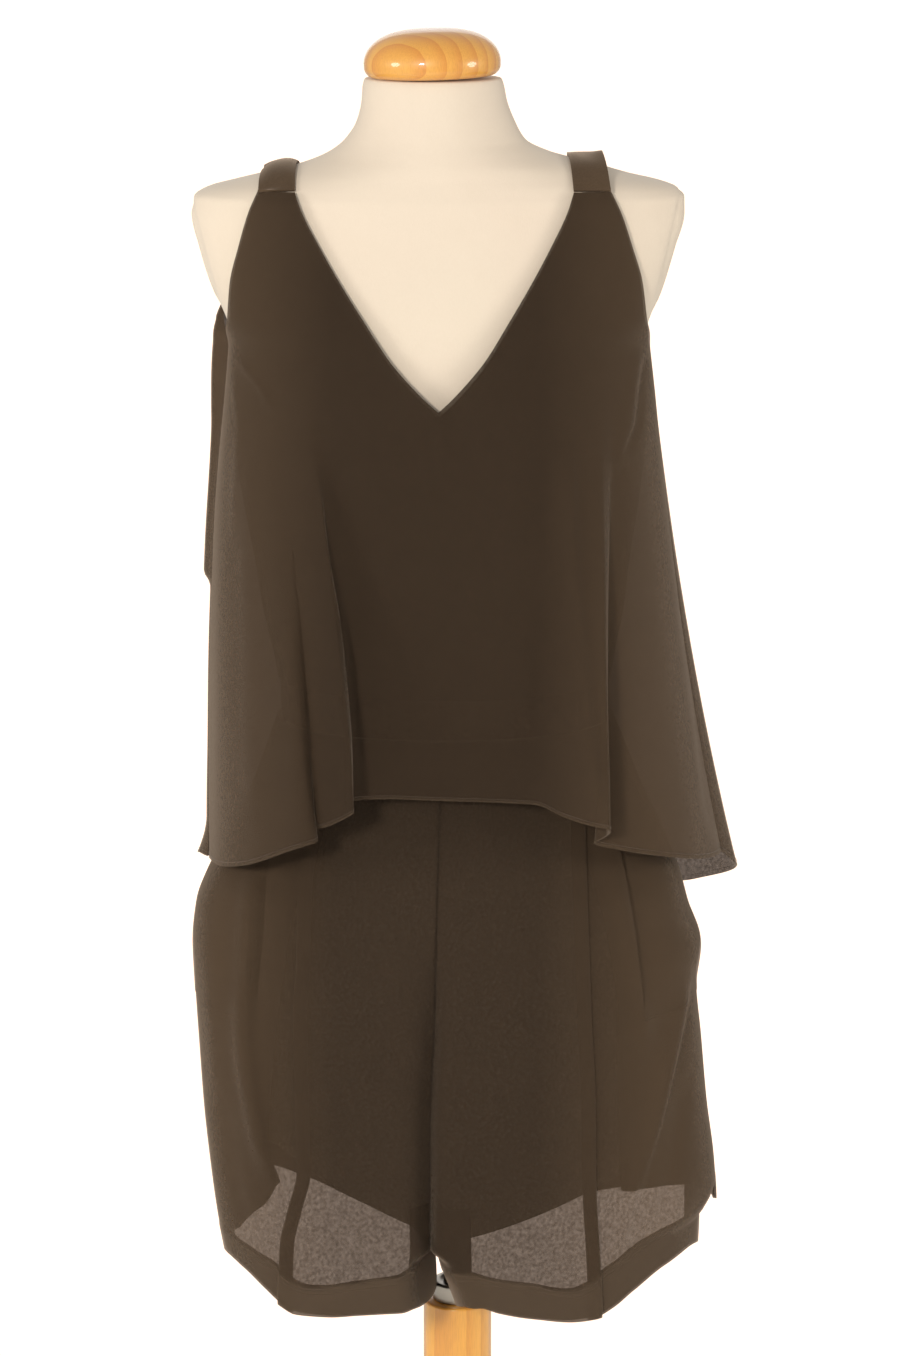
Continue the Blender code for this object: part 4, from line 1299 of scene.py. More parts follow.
@dataclass
class LooseTop:
    """The V-necked top layer, a front and a back cut wide and falling in folds from the chest."""

    columns: int = 126
    crowd: tuple[tuple[float, float, float], ...] = ((-0.42, 0.11, 2.2), (0.49, 0.09, 2.2))
    chest_step: float = 0.003
    fall_length: float = 0.33
    fall_rows: int = 96
    rest: float = 0.003
    settle_share: float = 0.12
    held_fade: float = 0.02
    held_blend: float = 0.0016
    side_free: float = 0.03
    left_belly: float = 2.0
    right_belly: float = -0.8
    tip_out: float = 0.008
    tip_from: float = 0.92
    tip_over: float = 0.08
    tip_at: float = -0.96
    tip_wide: float = 0.06
    curl_at: float = -0.53
    curl_wide: float = 0.06
    curl_from: float = 0.8
    chest_soft: float = 0.035
    centre_firm: float = 0.12
    crease_fade: float = 0.012
    seam_in: float = 0.0008
    uneven: float = 0.0006
    uneven_from: float = 0.05
    uneven_over: float = 0.1
    edge_light: float = 0.22
    hem_stitch: Stitching = Stitching(0.0016, 0.0026, 0.00016)
    hem_stitch_row: int = -4
    front_cut: Cut = Cut(0.56, 0.52, 0.78)
    back_cut: Cut = Cut(0.58, 0.54, 0.9)
    front_creases: tuple[Crease, ...] = (
        Crease(((0.9, -0.1005), (0.97, -0.1035), (1.07, -0.105), (1.142, -0.1075), (1.192, -0.1095)),
               0.0085, 0.0026, 0.09),
        Crease(((0.905, -0.066), (0.94, -0.0672), (0.997, -0.0715), (1.083, -0.0752), (1.12, -0.0775)),
               0.013, 0.0036, 0.08, 5.0),
        Crease(((0.905, 0.114), (0.982, 0.1045), (1.069, 0.0985), (1.142, 0.095), (1.19, 0.0945)),
               0.016, 0.004, 0.05, 4.5),
        Crease(((0.93, 0.085), (0.992, 0.0845), (1.14, 0.0865)), 0.013, 0.0012, 0.06),
        Crease(((0.87, -0.141), (1.12, -0.1414), (1.19, -0.1392)), 0.008, 0.0016, 0.07),
        Crease(((1.09, -0.1535), (1.152, -0.1487), (1.187, -0.1462), (1.2103, -0.1491), (1.232, -0.152)),
               0.0042, 0.001, 0.03),
        Crease(((1.195, -0.119), (1.211, -0.1262), (1.2242, -0.1375), (1.2346, -0.1466)),
               0.0045, 0.0018, 0.01),
        Crease(((1.268, -0.0935), (1.2906, -0.0878), (1.3121, -0.0822)), 0.006, 0.0009, 0.012),
        Crease(((1.262, -0.149), (1.284, -0.144), (1.3, -0.138)), 0.0035, 0.001, 0.008),
        Crease(((1.16, 0.133), (1.1732, 0.1385), (1.1851, 0.1452), (1.2073, 0.1483), (1.2368, 0.153)),
               0.004, -0.0016, 0.012),
        Crease(((1.15, 0.127), (1.185, 0.137), (1.21, 0.1425), (1.245, 0.149)), 0.006, 0.0016, 0.015),
        Crease(((0.853, 0.2066), (0.893, 0.1969), (0.971, 0.1898), (1.01, 0.1848), (1.06, 0.178)),
               0.0035, -0.0014, 0.04),
        Crease(((0.885, 0.144), (0.96, 0.14), (1.08, 0.13), (1.15, 0.127)), 0.011, 0.0014, 0.07),
    )
    back_creases: tuple[Crease, ...] = (
        Crease(((0.8, -0.07), (0.96, -0.065), (1.12, -0.056)), 0.014, 0.0022, 0.1),
        Crease(((0.79, 0.03), (0.95, 0.027), (1.09, 0.02)), 0.012, 0.0018, 0.09),
        Crease(((0.8, 0.115), (0.97, 0.102), (1.15, 0.088)), 0.013, 0.0022, 0.09),
        Crease(((1.17, -0.112), (1.205, -0.123), (1.236, -0.138)), 0.006, 0.0016, 0.015),
        Crease(((1.165, 0.118), (1.2, 0.129), (1.236, 0.142)), 0.006, 0.0016, 0.015),
    )

    def fall(self, across: Array, drop: Array, facing: Facing) -> tuple[Array, Array, Array]:
        """Find the top below the point of its neckline.

        Args:
            across: From -1 at the left side seam to 1 at the right, one in each column.
            drop: From 0 at the neckline's point to 1 at the hem, one in each row.
            facing: Front or back.

        Returns:
            x, y and z there.
        """
        front = facing is Facing.FRONT
        hems = [softened(curve(across), 4) for curve in table_curves(FRONT_HEM if front else BACK_HEM)]
        calm = [softened(hem, 60) for hem in hems]
        across, drop = across[None, :], drop[:, None]
        local = np.exp(-((across - self.curl_at) / self.curl_wide) ** 2) * (1.0 if front else 0.0)
        local = local * (1 - smooth((drop - self.curl_from) / (1 - self.curl_from)))
        x_hem, y_hem = (hem + (still - hem) * local for hem, still in zip(hems[:2], calm[:2]))
        z_hem = hems[2][None, :]
        x_top, y_top = TOP.chest(across, np.full_like(across, APEX), facing)
        belly = self.left_belly + (self.right_belly - self.left_belly) * (across + 1) / 2 + NEVER_ZERO
        spread = np.expm1(-belly * drop) / np.expm1(-belly)
        z = APEX + (z_hem - APEX) * drop
        x = x_top + (x_hem - x_top) * spread
        y = y_top + (y_hem - y_top) * spread
        lift = BODICE.lift + BODICE.ease(z) + self.rest * np.minimum(drop / self.settle_share, 1.0)
        under = FORM.section(z, lift)
        rest = np.abs(FORM.depth(under, np.clip(x, -under.left, under.right), z, facing))
        covers = smooth((z - WAIST_BOTTOM) / self.held_fade)
        depth = np.abs(y)
        held = (depth + rest + np.sqrt((depth - rest) ** 2 + self.held_blend ** 2)) / 2
        y = facing.value * (depth + (held - depth) * covers * smooth((1 - np.abs(across)) / self.side_free))
        if not front:
            hung = TOP.back_bulge(across, z) - TOP.back_bulge(across, np.full_like(z, APEX)) * (1 - spread)
            beside = np.maximum(1 - np.abs(across - self.tip_at) / self.tip_wide, 0.0)
            tip = np.clip((drop - self.tip_from) / self.tip_over, 0, 1) * beside
            x = x - hung - self.tip_out * tip ** 1.5
        return x, y, z

    def spacing(self, facing: Facing) -> Array:
        """Return the columns' shares from -1 to 1, closer together where the front's folds are."""
        each_side = 2000
        fine = np.linspace(-1.0, 1.0, 2 * each_side + 1)
        density = np.ones_like(fine)
        if facing is Facing.FRONT:
            density += sum(more * np.exp(-((fine - middle) / wide) ** 2) for middle, wide, more in self.crowd)
        run = np.concatenate(([0.0], np.cumsum((density[1:] + density[:-1]) / 2)))
        at_centre = run[each_side]
        left = np.interp(np.linspace(0, at_centre, self.columns + 1), run, fine)
        right = np.interp(np.linspace(at_centre, run[-1], self.columns + 1), run, fine)
        left[-1] = right[0] = 0.0
        return np.concatenate((left, right[1:]))

    def half(self, side: Side, facing: Facing) -> Stretch:
        """Build one half of a panel, from its strap or its scoop down to its hem."""
        front = facing is Facing.FRONT
        top = STRAP_SEAM if front else BACK_TOP
        across = self.spacing(facing)
        halves = across <= 0 if side is Side.LEFT else across >= 0
        above = np.linspace(top, APEX, int((top - APEX) / self.chest_step))[:-1]
        columns = np.where(across == 0, side.value * NO_WIDTH, across)[halves]
        upper = stack(*TOP.chest(columns[None, :], above[:, None], facing), above[:, None])
        drop = stops(self.fall_length, self.fall_length / self.fall_rows, fine_end=True)
        lower = stack(*self.fall(across, drop, facing))[:, halves]
        points = np.concatenate((upper, lower))
        height = points[..., 2]
        beside = smooth(np.abs(columns)[None, :] / self.centre_firm)
        near = np.exp(-((height - APEX) / self.chest_soft) ** 2) * beside
        eased = np.swapaxes(softened(np.swapaxes(points, 0, 2), 60), 0, 2)
        points[..., :2] += (eased - points)[..., :2] * near[..., None]
        stretch = Stretch(points, -facing.value)
        creases = self.front_creases if front else self.back_creases
        push = sum(crease.at(points[..., 0], height) for crease in creases)
        from_rim = stretch.reach(side.rim)
        inside = smooth(np.minimum(from_rim, stretch.reach(side.centre)) / self.crease_fade)
        both = np.where(height < APEX, smooth(from_rim / self.crease_fade), inside)
        slack = smooth((APEX + self.uneven_from - height) / self.uneven_over)
        push = push + self.uneven * ripple(points[..., 0], height, CLOTH_WAVES) * slack
        stretch = stretch.moved(push * both)
        armhole = smooth((stretch.points[..., 2] - UNDERARM) / ARM_FADE)
        neck = smooth((stretch.points[..., 2] - (APEX if front else SCOOP)) / NECK_FADE)
        stretch = stretch.seamed(side.rim, self.seam_in, 1 - armhole).rolled(Border.HEM)
        stretch.rolled(side.rim, armhole * self.edge_light).rolled(side.centre, neck * self.edge_light)
        return stretch.leaning()

    def panel(self, name: str, facing: Facing, cloth: Material,
              thread: Material) -> tuple[Thing, Thing]:
        """Build a panel and the stitches of its rolled hem.

        Args:
            name: The node that it stands for.
            facing: Front or back.
            cloth: The panel's finish.
            thread: The stitches' finish.

        Returns:
            The panel and its stitches.
        """
        halves = [self.half(side, facing) for side in Side]
        if facing is Facing.BACK:
            self.close_scoop(halves)
        piece = carried(make_cloth(f"{name}_cloth", halves, cloth), "georgette", name)
        lines = [half.moved(HEM_WALL / 2).points[self.hem_stitch_row] for half in halves]
        return piece, carried(self.hem_stitch.along(f"{name}_stitches", lines, thread), "georgette")

    @staticmethod
    def close_scoop(halves: list[Stretch]) -> None:
        """Join the two halves of the back below its scoop, where their centre columns meet."""
        left, right = halves
        below = left.points[:, -1, 2] < SCOOP + 1e-4
        middle = (left.points[below, -1] + right.points[below, 0]) / 2
        left.points[below, -1] = middle
        right.points[below, 0] = middle

    def build(self, cloth: Material, thread: Material) -> None:
        """Build both panels."""
        for facing, cut in zip(Facing, (self.front_cut, self.back_cut)):
            label = facing.name.lower()
            piece, sewn = self.panel(f"top_{label}", facing, cloth, thread)
            cut.declare(piece, (f"bodice_{label}", "strap_left", "strap_right"), [sewn])


@dataclass
class Bodice:
    """The close under-bodice, from the same neck and armholes down into the waist casing."""

    columns: int = 44
    step: float = 0.0065
    roll: float = 0.002
    hem_wall: float = 0.0012
    gathers: int = 34
    gather: float = 0.0009
    gather_in: float = 0.3
    gather_from: float = 0.055
    gather_fade: float = 0.05
    edge_light: float = 0.3
    front_cut: Cut = Cut(0.36, 0.39, 0.72)
    back_cut: Cut = Cut(0.36, 0.35, 0.88)

    def half(self, side: Side, facing: Facing) -> Stretch:
        """Build one half of a panel."""
        front = facing is Facing.FRONT
        top = STRAP_SEAM if front else BACK_TOP
        z = np.linspace(top, WAIST_TOP + 0.0001, int((top - WAIST_TOP) / self.step))
        middle = (APEX if front else SCOOP) - BODICE.under
        z[np.argmin(np.abs(z - middle))] = middle
        z = z[:, None]
        across = np.linspace(side.value, side.value * NO_WIDTH, self.columns)
        across = (across if side is Side.LEFT else across[::-1])[None, :]
        stretch = Stretch(stack(*BODICE.chest(across, z, facing), z), -facing.value)
        near_waist = smooth((WAIST_TOP + self.gather_from - z) / self.gather_fade)
        pleats = np.sin(across * self.gathers * math.pi) * near_waist - self.gather_in
        stretch = stretch.moved(self.gather * pleats * smooth((1 - np.abs(across)) / self.gather_fade))
        neck, armhole = smooth((z - middle) / NECK_FADE), smooth((z - UNDERARM) / ARM_FADE)
        stretch.rolled(side.rim, armhole * self.edge_light, self.roll)
        return stretch.rolled(side.centre, neck * self.edge_light, self.roll).leaning()

    def build(self, cloth: Material) -> None:
        """Build the front and the back."""
        for facing, cut in zip(Facing, (self.front_cut, self.back_cut)):
            name = f"bodice_{facing.name.lower()}"
            halves = [self.half(side, facing) for side in Side]
            piece = make_cloth(f"{name}_cloth", halves, cloth, hem_wall=self.hem_wall)
            carried(piece, "georgette", name)
            cut.declare(piece, ("form_torso", "strap_left", "strap_right"))


@dataclass
class Straps:
    """The shoulder straps: the left one puffed into a soft loop, the right one a flat band."""

    inner: float = 0.101
    outer: float = 0.128
    clear: float = 0.0017
    behind: float = 0.0026
    slant: float = 0.0032
    waisted: float = 0.07
    wall: float = 0.0014
    hem_wall: float = 0.0022
    roll: float = 0.0012
    rows: int = 104
    row_crowd: float = 1.6
    columns: int = 26
    behind_over: float = 0.03
    level_from: float = 0.62
    level_over: float = 0.2
    ends_up: tuple[float, float] = (0.001, 0.0008)
    puff: float = 0.0042
    puff_hem: float = 0.0003
    crown: float = 0.0008
    ridge: float = -0.002
    corner_up: float = 0.0022
    hollow: float = 0.0006
    stitch: Stitching = Stitching(0.0014, 0.0022, 0.00016)
    cut: Cut = Cut(0.03, 0.19, 0.95)

    @staticmethod
    def shoulder(x: Array, y: Array) -> Array:
        """Return the height of the form's shoulder at places seen from above."""
        low = np.full(np.broadcast(x, y).shape, BACK_TOP - 0.06)
        high = np.full_like(low, FORM_RINGS[-1].height)
        for _ in range(22):
            middle = (low + high) / 2
            section = FORM.section(middle)
            front = np.abs(FORM.depth(section, x, middle, Facing.FRONT)) > np.abs(y)
            back = np.abs(FORM.depth(section, x, middle, Facing.BACK)) > np.abs(y)
            over = np.where(y < 0, front, back)
            low, high = np.where(over, middle, low), np.where(over, high, middle)
        return low

    def strap(self, side: Side) -> Stretch:
        """Build one strap from the front panel's upper edge over the shoulder to the back's."""
        centre, half = side.value * (self.inner + self.outer) / 2, (self.outer - self.inner) / 2
        place = np.array(centre)
        start = float(FORM.depth(FORM.section(STRAP_SEAM, TOP.lift), place, STRAP_SEAM, Facing.FRONT))
        end = float(FORM.depth(FORM.section(BACK_TOP, TOP.lift), place, BACK_TOP, Facing.BACK))
        share = 1 - np.linspace(1.0, 0.0, self.rows)[:, None] ** self.row_crowd
        k = np.linspace(-1.0, 1.0, self.columns)[None, :]
        y = start + (end - start) * share
        puffed = side is Side.LEFT
        bow = np.sin(math.pi * share)
        width = half * (1 - self.waisted * bow)
        x = centre + k * width - self.slant * bow * (not puffed)
        nearer = y - self.behind * smooth(y / self.behind_over)
        rest = self.shoulder(x, np.clip(nearer, start + 0.004, end - 0.005)) + self.clear
        level = smooth((share - self.level_from) / self.level_over) if puffed else 1.0
        rest = rest + (rest.max(axis=1, keepdims=True) - rest) * level
        rest[0], rest[-1] = STRAP_SEAM + self.ends_up[0], BACK_TOP + self.ends_up[1]
        rest = softened(rest.T, 6).T
        if puffed:
            lift = self.puff * bow ** 0.7 * (1 - np.abs(k) ** 2.4) - self.puff_hem * bow * np.abs(k) ** 6
        else:
            off = y - self.ridge
            lift = self.crown * bow * (1 - k * k)
            lift = lift + self.corner_up * np.exp(-(off / 0.024) ** 2) * smooth(k) ** 2
            lift = lift - self.hollow * np.exp(-(off / 0.02) ** 2) * np.exp(-((k + 0.1) / 0.4) ** 2)
        stretch = Stretch(leaned(stack(x, y, rest + lift)), 1)
        return stretch.rolled(Border.FIRST, 1.0, self.roll).rolled(Border.LAST, 1.0, self.roll)

    def build(self, cloth: Material, thread: Material) -> None:
        """Build both straps, each with the stitches of its front seam."""
        for side in Side:
            name, strap = f"strap_{side.name.lower()}", self.strap(side)
            piece = make_cloth(f"{name}_cloth", [strap], cloth, self.wall, self.hem_wall)
            carried(piece, "georgette", name)
            line = strap.moved(0.001).points[2, 2:-2]
            sewn = carried(self.stitch.along(f"{name}_stitches", [line], thread), "georgette")
            self.cut.declare(piece, ("form_torso",), [sewn])


@dataclass
class WaistCasing:
    """The elastic casing at the waist, drawn into fine gathers."""

    around: int = 420
    rows: int = 13
    wall: float = 0.0018
    clear: float = 0.0003
    slack: float = 0.0004
    gathers: int = 62
    gather_height: float = 0.0011
    cut: Cut = Cut(0.74, 0.031, 1.0)

    def build(self, cloth: Material) -> None:
        """Build the casing as one band, closed at the middle of the front."""
        z = np.linspace(WAIST_TOP, WAIST_BOTTOM, self.rows)[:, None]
        angle = math.tau * np.linspace(0.0, 1.0, self.around)[None, :]
        section = FORM.section(z, self.clear + self.wall / 2 + self.slack)
        stretch = Stretch(stack(*section.around(angle), z), 1)
        level = (WAIST_TOP - z) / (WAIST_TOP - WAIST_BOTTOM)
        belly = np.sin(math.pi * level) ** 0.5
        gather = np.sin(self.gathers * angle + 0.9 * np.sin(5 * angle) + 0.5 * np.sin(13 * angle))
        stretch = stretch.moved(self.gather_height * (0.5 + 0.5 * gather) * belly)
        stretch.points[:, -1] = stretch.points[:, 0]
        piece = make_cloth("waist_casing", [stretch.leaning()], cloth, self.wall, self.wall)
        carried(piece, "georgette", "waistband")
        self.cut.declare(piece, ("form_torso",))


@dataclass
class Shorts:
    """The shorts: two fronts with slit pockets and one pressed pleat each, and two backs.

    `cleft_wide`, `front_allowance_ends` and `side_allowance_from` give the left side first.
    `cleft_top` and `cleft_foot` are the height where the groove along the centre seam ends, and how
    softly it does. `passes` is how often rows are laid again until they agree with a hem that
    depends on them.
    """

    inner_columns: int = 56
    inner_crowd: float = 1.6
    outer_columns: int = 15
    hip_columns: int = 28
    back_columns: int = 84
    step: float = 0.0036
    passes: int = 4
    front_hem_near: float = 0.51
    back_hem_near: float = 0.5
    waist_gap: float = 0.0003
    roll: float = 0.0022
    pleat_height: float = 0.0032
    pleat_under: float = 0.0078
    pleat_rise: float = 0.05
    vent: float = 0.014
    vent_top: float = 0.59
    vent_bottom: float = 0.562
    back_slack: float = 1.6
    back_turn_up: float = 0.022
    lining_in: float = 0.0016
    allowance_in: float = 0.0014
    allowance_foot: float = 0.003
    back_allowance: float = 0.012
    front_allowance_ends: tuple[float, float] = (0.034, 0.012)
    side_allowance_from: tuple[float, float] = (0.172, 0.1765)
    inner_allowance_top: float = 0.6
    side_allowance_top: float = 0.66
    band_light: float = 0.85
    band_blend: float = 0.0012
    crease_fade: float = 0.015
    steepest: tuple[float, float] = (6.0, 1.5)
    seam_wide: float = 0.001
    seam_deep: float = 0.002
    cleft: float = 0.0122
    cleft_wide: tuple[float, float] = (0.013, 0.0045)
    cleft_top: tuple[float, float] = (0.86, 0.17)
    cleft_foot: tuple[float, float] = (0.555, 0.02)
    tuck: float = 0.016
    tuck_in: float = 0.0032
    tuck_over: float = 0.03
    lip_up: float = 0.0012
    lip_wide: float = 0.022
    open_over: float = 0.035
    slit_light: float = 0.25
    slit_roll: float = 0.002
    bag_top: float = 0.925
    bag_foot_near: float = 0.6
    bag_rows: int = 60
    bag_columns: int = 40
    bag_in: tuple[float, float] = (0.0045, 0.0066)
    bag_clear: float = 0.003
    stitch: Stitching = Stitching(0.002, 0.003, 0.00018)
    stitch_below: tuple[float, float] = (0.0015, 0.006)
    uneven: float = 0.0008
    front_cut: Cut = Cut(0.27, 0.49, 0.86)
    back_cut: Cut = Cut(0.27, 0.5, 0.86)
    pocket_cut: Cut = Cut(0.22, 0.42, 0.64)

    PLEAT = {
        Side.LEFT: Curve((0.5, 0.5547, 0.5842, 0.62, 0.7151, 0.7516, 0.788, 0.8487, 0.955),
                         (0.134, 0.1305, 0.124, 0.1162, 0.116, 0.1158, 0.1122, 0.109, 0.07)),
        Side.RIGHT: Curve((0.5, 0.5483, 0.6128, 0.6869, 0.74, 0.8057, 0.8929, 0.955),
                          (0.1085, 0.107, 0.105, 0.105, 0.1034, 0.1018, 0.1004, 0.065)),
    }
    SLIT = {
        Side.LEFT: Curve((0.5, 0.62, POCKET_END, 0.8052, 0.8654, 0.955),
                         (0.148, 0.149, 0.1451, 0.138, 0.1317, 0.09)),
        Side.RIGHT: Curve((0.5, 0.62, POCKET_END, 0.7546, 0.8075, 0.8631, 0.955),
                          (0.15, 0.149, 0.143, 0.1417, 0.1362, 0.1285, 0.09)),
    }
    HEM_FRONT = {
        Side.LEFT: Curve((0.0, 0.08, 0.16, 0.22, 0.3, 0.4, 0.5, 0.6, 0.65, 0.7, 0.77, 0.86, 1.0),
                         (0.491, 0.5025, 0.511, 0.515, 0.514, 0.511, 0.507, 0.5055, 0.512, 0.521, 0.53, 0.534,
                          0.527)),
        Side.RIGHT: Curve((0.0, 0.08, 0.16, 0.2, 0.25, 0.3, 0.4, 0.5, 0.55, 0.6, 0.65, 0.75, 0.85, 1.0),
                          (0.484, 0.499, 0.514, 0.519, 0.5195, 0.515, 0.5085, 0.505, 0.506, 0.513, 0.5235,
                           0.538, 0.543, 0.531)),
    }
    HEM_BACK = {
        Side.LEFT: Curve((0.0, 0.08, 0.2, 0.38, 0.58, 0.72, 0.82, 0.91, 1.0),
                         (0.491, 0.5, 0.509, 0.525, 0.552, 0.566, 0.559, 0.543, 0.527)),
        Side.RIGHT: Curve((0.0, 0.08, 0.2, 0.38, 0.58, 0.72, 0.87, 1.0),
                          (0.484, 0.497, 0.509, 0.522, 0.54, 0.55, 0.558, 0.563)),
    }
    TURN_UP = {
        Side.LEFT: Curve((0.0, 0.15, 0.25, 0.4, 0.55, 0.65, 0.7, 0.8, 1.0),
                         (0.042, 0.035, 0.031, 0.028, 0.025, 0.033, 0.0275, 0.021, 0.02)),
        Side.RIGHT: Curve((0.0, 0.2, 0.4, 0.5, 0.6, 0.75, 1.0),
                          (0.04, 0.029, 0.03, 0.027, 0.036, 0.032, 0.03)),
    }
    BAG = {
        Side.LEFT: Curve((0.13, 0.136, 0.148, 0.16, 0.168, 0.176, 0.19),
                         (0.614, 0.61, 0.59, 0.578, 0.567, 0.556, 0.555)),
        Side.RIGHT: Curve((0.125, 0.149, 0.168, 0.187, 0.205), (0.608, 0.6055, 0.603, 0.598, 0.594)),
    }
    BAG_EDGE = {
        Side.LEFT: Curve((0.54, 0.6, 0.628, 0.66, 0.74, 0.8, 0.925),
                         (0.133, 0.1335, 0.1385, 0.1415, 0.133, 0.124, 0.09)),
        Side.RIGHT: Curve((0.54, 0.607, 0.74, 0.8, 0.925), (0.128, 0.128, 0.128, 0.122, 0.088)),
    }
    CREASES = {
        Side.LEFT: (
            Crease(((0.6, -0.1345), (0.6498, -0.1437), (0.7256, -0.1519), (0.7959, -0.149),
                    (0.87, -0.1395)), 0.011, 0.008, 0.05, 2.6),
            Crease(((0.64, -0.178), (0.7, -0.18), (0.78, -0.179), (0.83, -0.17)), 0.009, 0.0016, 0.05),
            Crease(((0.556, -0.1022), (0.5865, -0.0958), (0.615, -0.0908)), 0.0022, 0.001, 0.012),
            Crease(((0.64, -0.06), (0.72, -0.064), (0.84, -0.062)), 0.016, 0.0012, 0.07),
            Crease(((0.56, -0.16), (0.62, -0.168), (0.68, -0.173)), 0.006, -0.0012, 0.03),
        ),
        Side.RIGHT: (
            Crease(((0.536, 0.12), (0.5897, 0.1312), (0.6507, 0.1508), (0.7254, 0.171), (0.78, 0.183)),
                   0.01, 0.0046, 0.05, 2.6),
            Crease(((0.7, 0.15), (0.7679, 0.137), (0.8105, 0.131), (0.87, 0.118)), 0.0065, 0.004, 0.04),
            Crease(((0.56, 0.156), (0.62, 0.165), (0.69, 0.177)), 0.007, -0.0022, 0.03),
            Crease(((0.6, 0.118), (0.66, 0.125), (0.73, 0.134)), 0.005, -0.0012, 0.03),
            Crease(((0.64, 0.048), (0.72, 0.05), (0.84, 0.047)), 0.016, 0.0012, 0.07),
        ),
    }
    BACK_CREASES = (
        Crease(((0.56, 0.12), (0.64, 0.115), (0.74, 0.095)), 0.012, 0.0024, 0.05),
        Crease(((0.53, 0.06), (0.6, 0.056), (0.68, 0.048)), 0.009, 0.0018, 0.04),
        Crease(((0.64, 0.155), (0.72, 0.15), (0.8, 0.14)), 0.009, 0.0018, 0.05),
        Crease(((0.82, 0.07), (0.88, 0.062), (0.94, 0.056)), 0.004, 0.0016, 0.03),
        Crease(((0.82, 0.102), (0.88, 0.09), (0.94, 0.08)), 0.004, 0.0016, 0.03),
    )

    def __post_init__(self) -> None:
        """Read the legs' table."""
        left, right, self.closed = table_curves(LEGS)
        self.leg = {Side.LEFT: left, Side.RIGHT: right}

    def half_width(self, side: Side, facing: Facing, z: Array) -> Array:
        """Return the distance of the side seam, drawn in at the right front's vent."""
        half = SHORTS.section(z)[side.place]
        if side is Side.RIGHT and facing is Facing.FRONT:
            opened = np.clip((self.vent_top - z) / (self.vent_top - self.vent_bottom), 0, 1)
            half = half - self.vent * opened ** 2
        return half

    def depth(self, side: Side, facing: Facing, x: Array, z: Array) -> Array:
        """Find y on a quarter of the shorts, where x is measured outwards from the centre."""
        section = SHORTS.section(z)
        half = self.half_width(side, facing, z)
        full = section.front if facing is Facing.FRONT else section.back
        begin = side.value * self.leg[side](z)
        turn = rounded(1 - np.clip(np.abs(x - begin) / LEG_TURN, 0, 1), 2.0)
        closed = self.closed(z) ** (1.0 if facing is Facing.FRONT else self.back_slack)
        return facing.value * full * rounded(x / half, section.square) * (1 - closed * (1 - turn))

    def share(self, side: Side, facing: Facing, x: Array, z: Array) -> Array:
        """Return how far round a quarter x lies, 0 at the centre or inner seam and 1 at the side."""
        begin = side.value * self.leg[side](z)
        across = (x - begin) / (self.half_width(side, facing, z) - begin)
        return np.arccos(np.clip(1 - 2 * across, -1, 1)) / np.pi

    def at_share(self, side: Side, facing: Facing, share: Array, z: Array) -> Array:
        """Return x at a share of the way round a quarter, the other way about from `share`."""
        begin = side.value * self.leg[side](z)
        return begin + (self.half_width(side, facing, z) - begin) * (1 - np.cos(np.pi * share)) / 2

    def hem(self, side: Side, facing: Facing, share: Array) -> Array:
        """Return the height of a quarter's hem."""
        return (self.HEM_FRONT if facing is Facing.FRONT else self.HEM_BACK)[side](share)

    def pleat_up(self, fold: Array, x: Array) -> Array:
        """Return how high the cloth stands at x inside the pleat's fold."""
        return self.pleat_height * np.maximum(0.0, 1 - (fold - x) / self.pleat_rise) ** 1.5

    def front_columns(self, side: Side, z: Array) -> tuple[Array, Array]:
        """Lay the columns of a front from its inner edge over the pleat's three layers to the slit.

        Args:
            side: Left or right.
            z: The heights, one in each row and column.

        Returns:
            The columns' distance outwards and their height off the plain front.
        """
        z = z[:, :1]
        begin, fold, slit = side.value * self.leg[side](z), self.PLEAT[side](z), self.SLIT[side](z)
        inner = fold - self.pleat_under
        high, turn = self.pleat_height, self.pleat_height / 4
        over = begin + (fold - begin) * np.linspace(0, 1, self.inner_columns)[None, :] ** self.inner_crowd
        first = np.radians((45, 0, -45))[None, :]
        second = np.radians((135, 180, 225))[None, :]
        back = np.linspace(0, 1, 5)[None, :]
        plain = inner + (slit - inner) * np.linspace(0, 1, self.outer_columns + 1)[None, :]
        x = (over, fold + turn * np.cos(first), fold + (inner - fold) * back,
             inner + turn * np.cos(second), plain)
        up = (self.pleat_up(fold, over), high - turn + turn * np.sin(first) + 0 * z,
              high / 2 + 0 * back + 0 * z, turn + turn * np.sin(second) + 0 * z, 0 * plain)
        return np.concatenate(x, axis=1), np.concatenate(up, axis=1)

    def rows_above(self, columns: int) -> Array:
        """Return the heights of the rows from the waist casing down to the pocket's end."""
        top = WAIST_BOTTOM - self.waist_gap
        upper = stops(WAIST_BOTTOM - POCKET_END, self.step)[:, None]
        return np.repeat(top + (POCKET_END - top) * upper, columns, 1)

    def laid(self, side: Side, facing: Facing, z: Array, level: Array,
             across: Callable[[Array], Array], clear: float = 0.0) -> tuple[Array, Array]:
        """Lay rows down to a hem, where x and the rows' heights depend on each other.

        Args:
            side: Left or right.
            facing: Front or back.
            z: First guess of the heights, from the top row down.
            level: Each row's share of the way from the top row to the hem.
            across: Finds x from the heights.
            clear: How far over the hem the last row ends.

        Returns:
            x and the heights.
        """
        top = float(z[0, 0])
        for _ in range(self.passes):
            x = across(z)
            foot = self.hem(side, facing, self.share(side, facing, x, z)) + clear
            z = top + (foot - top) * level
        return x, z

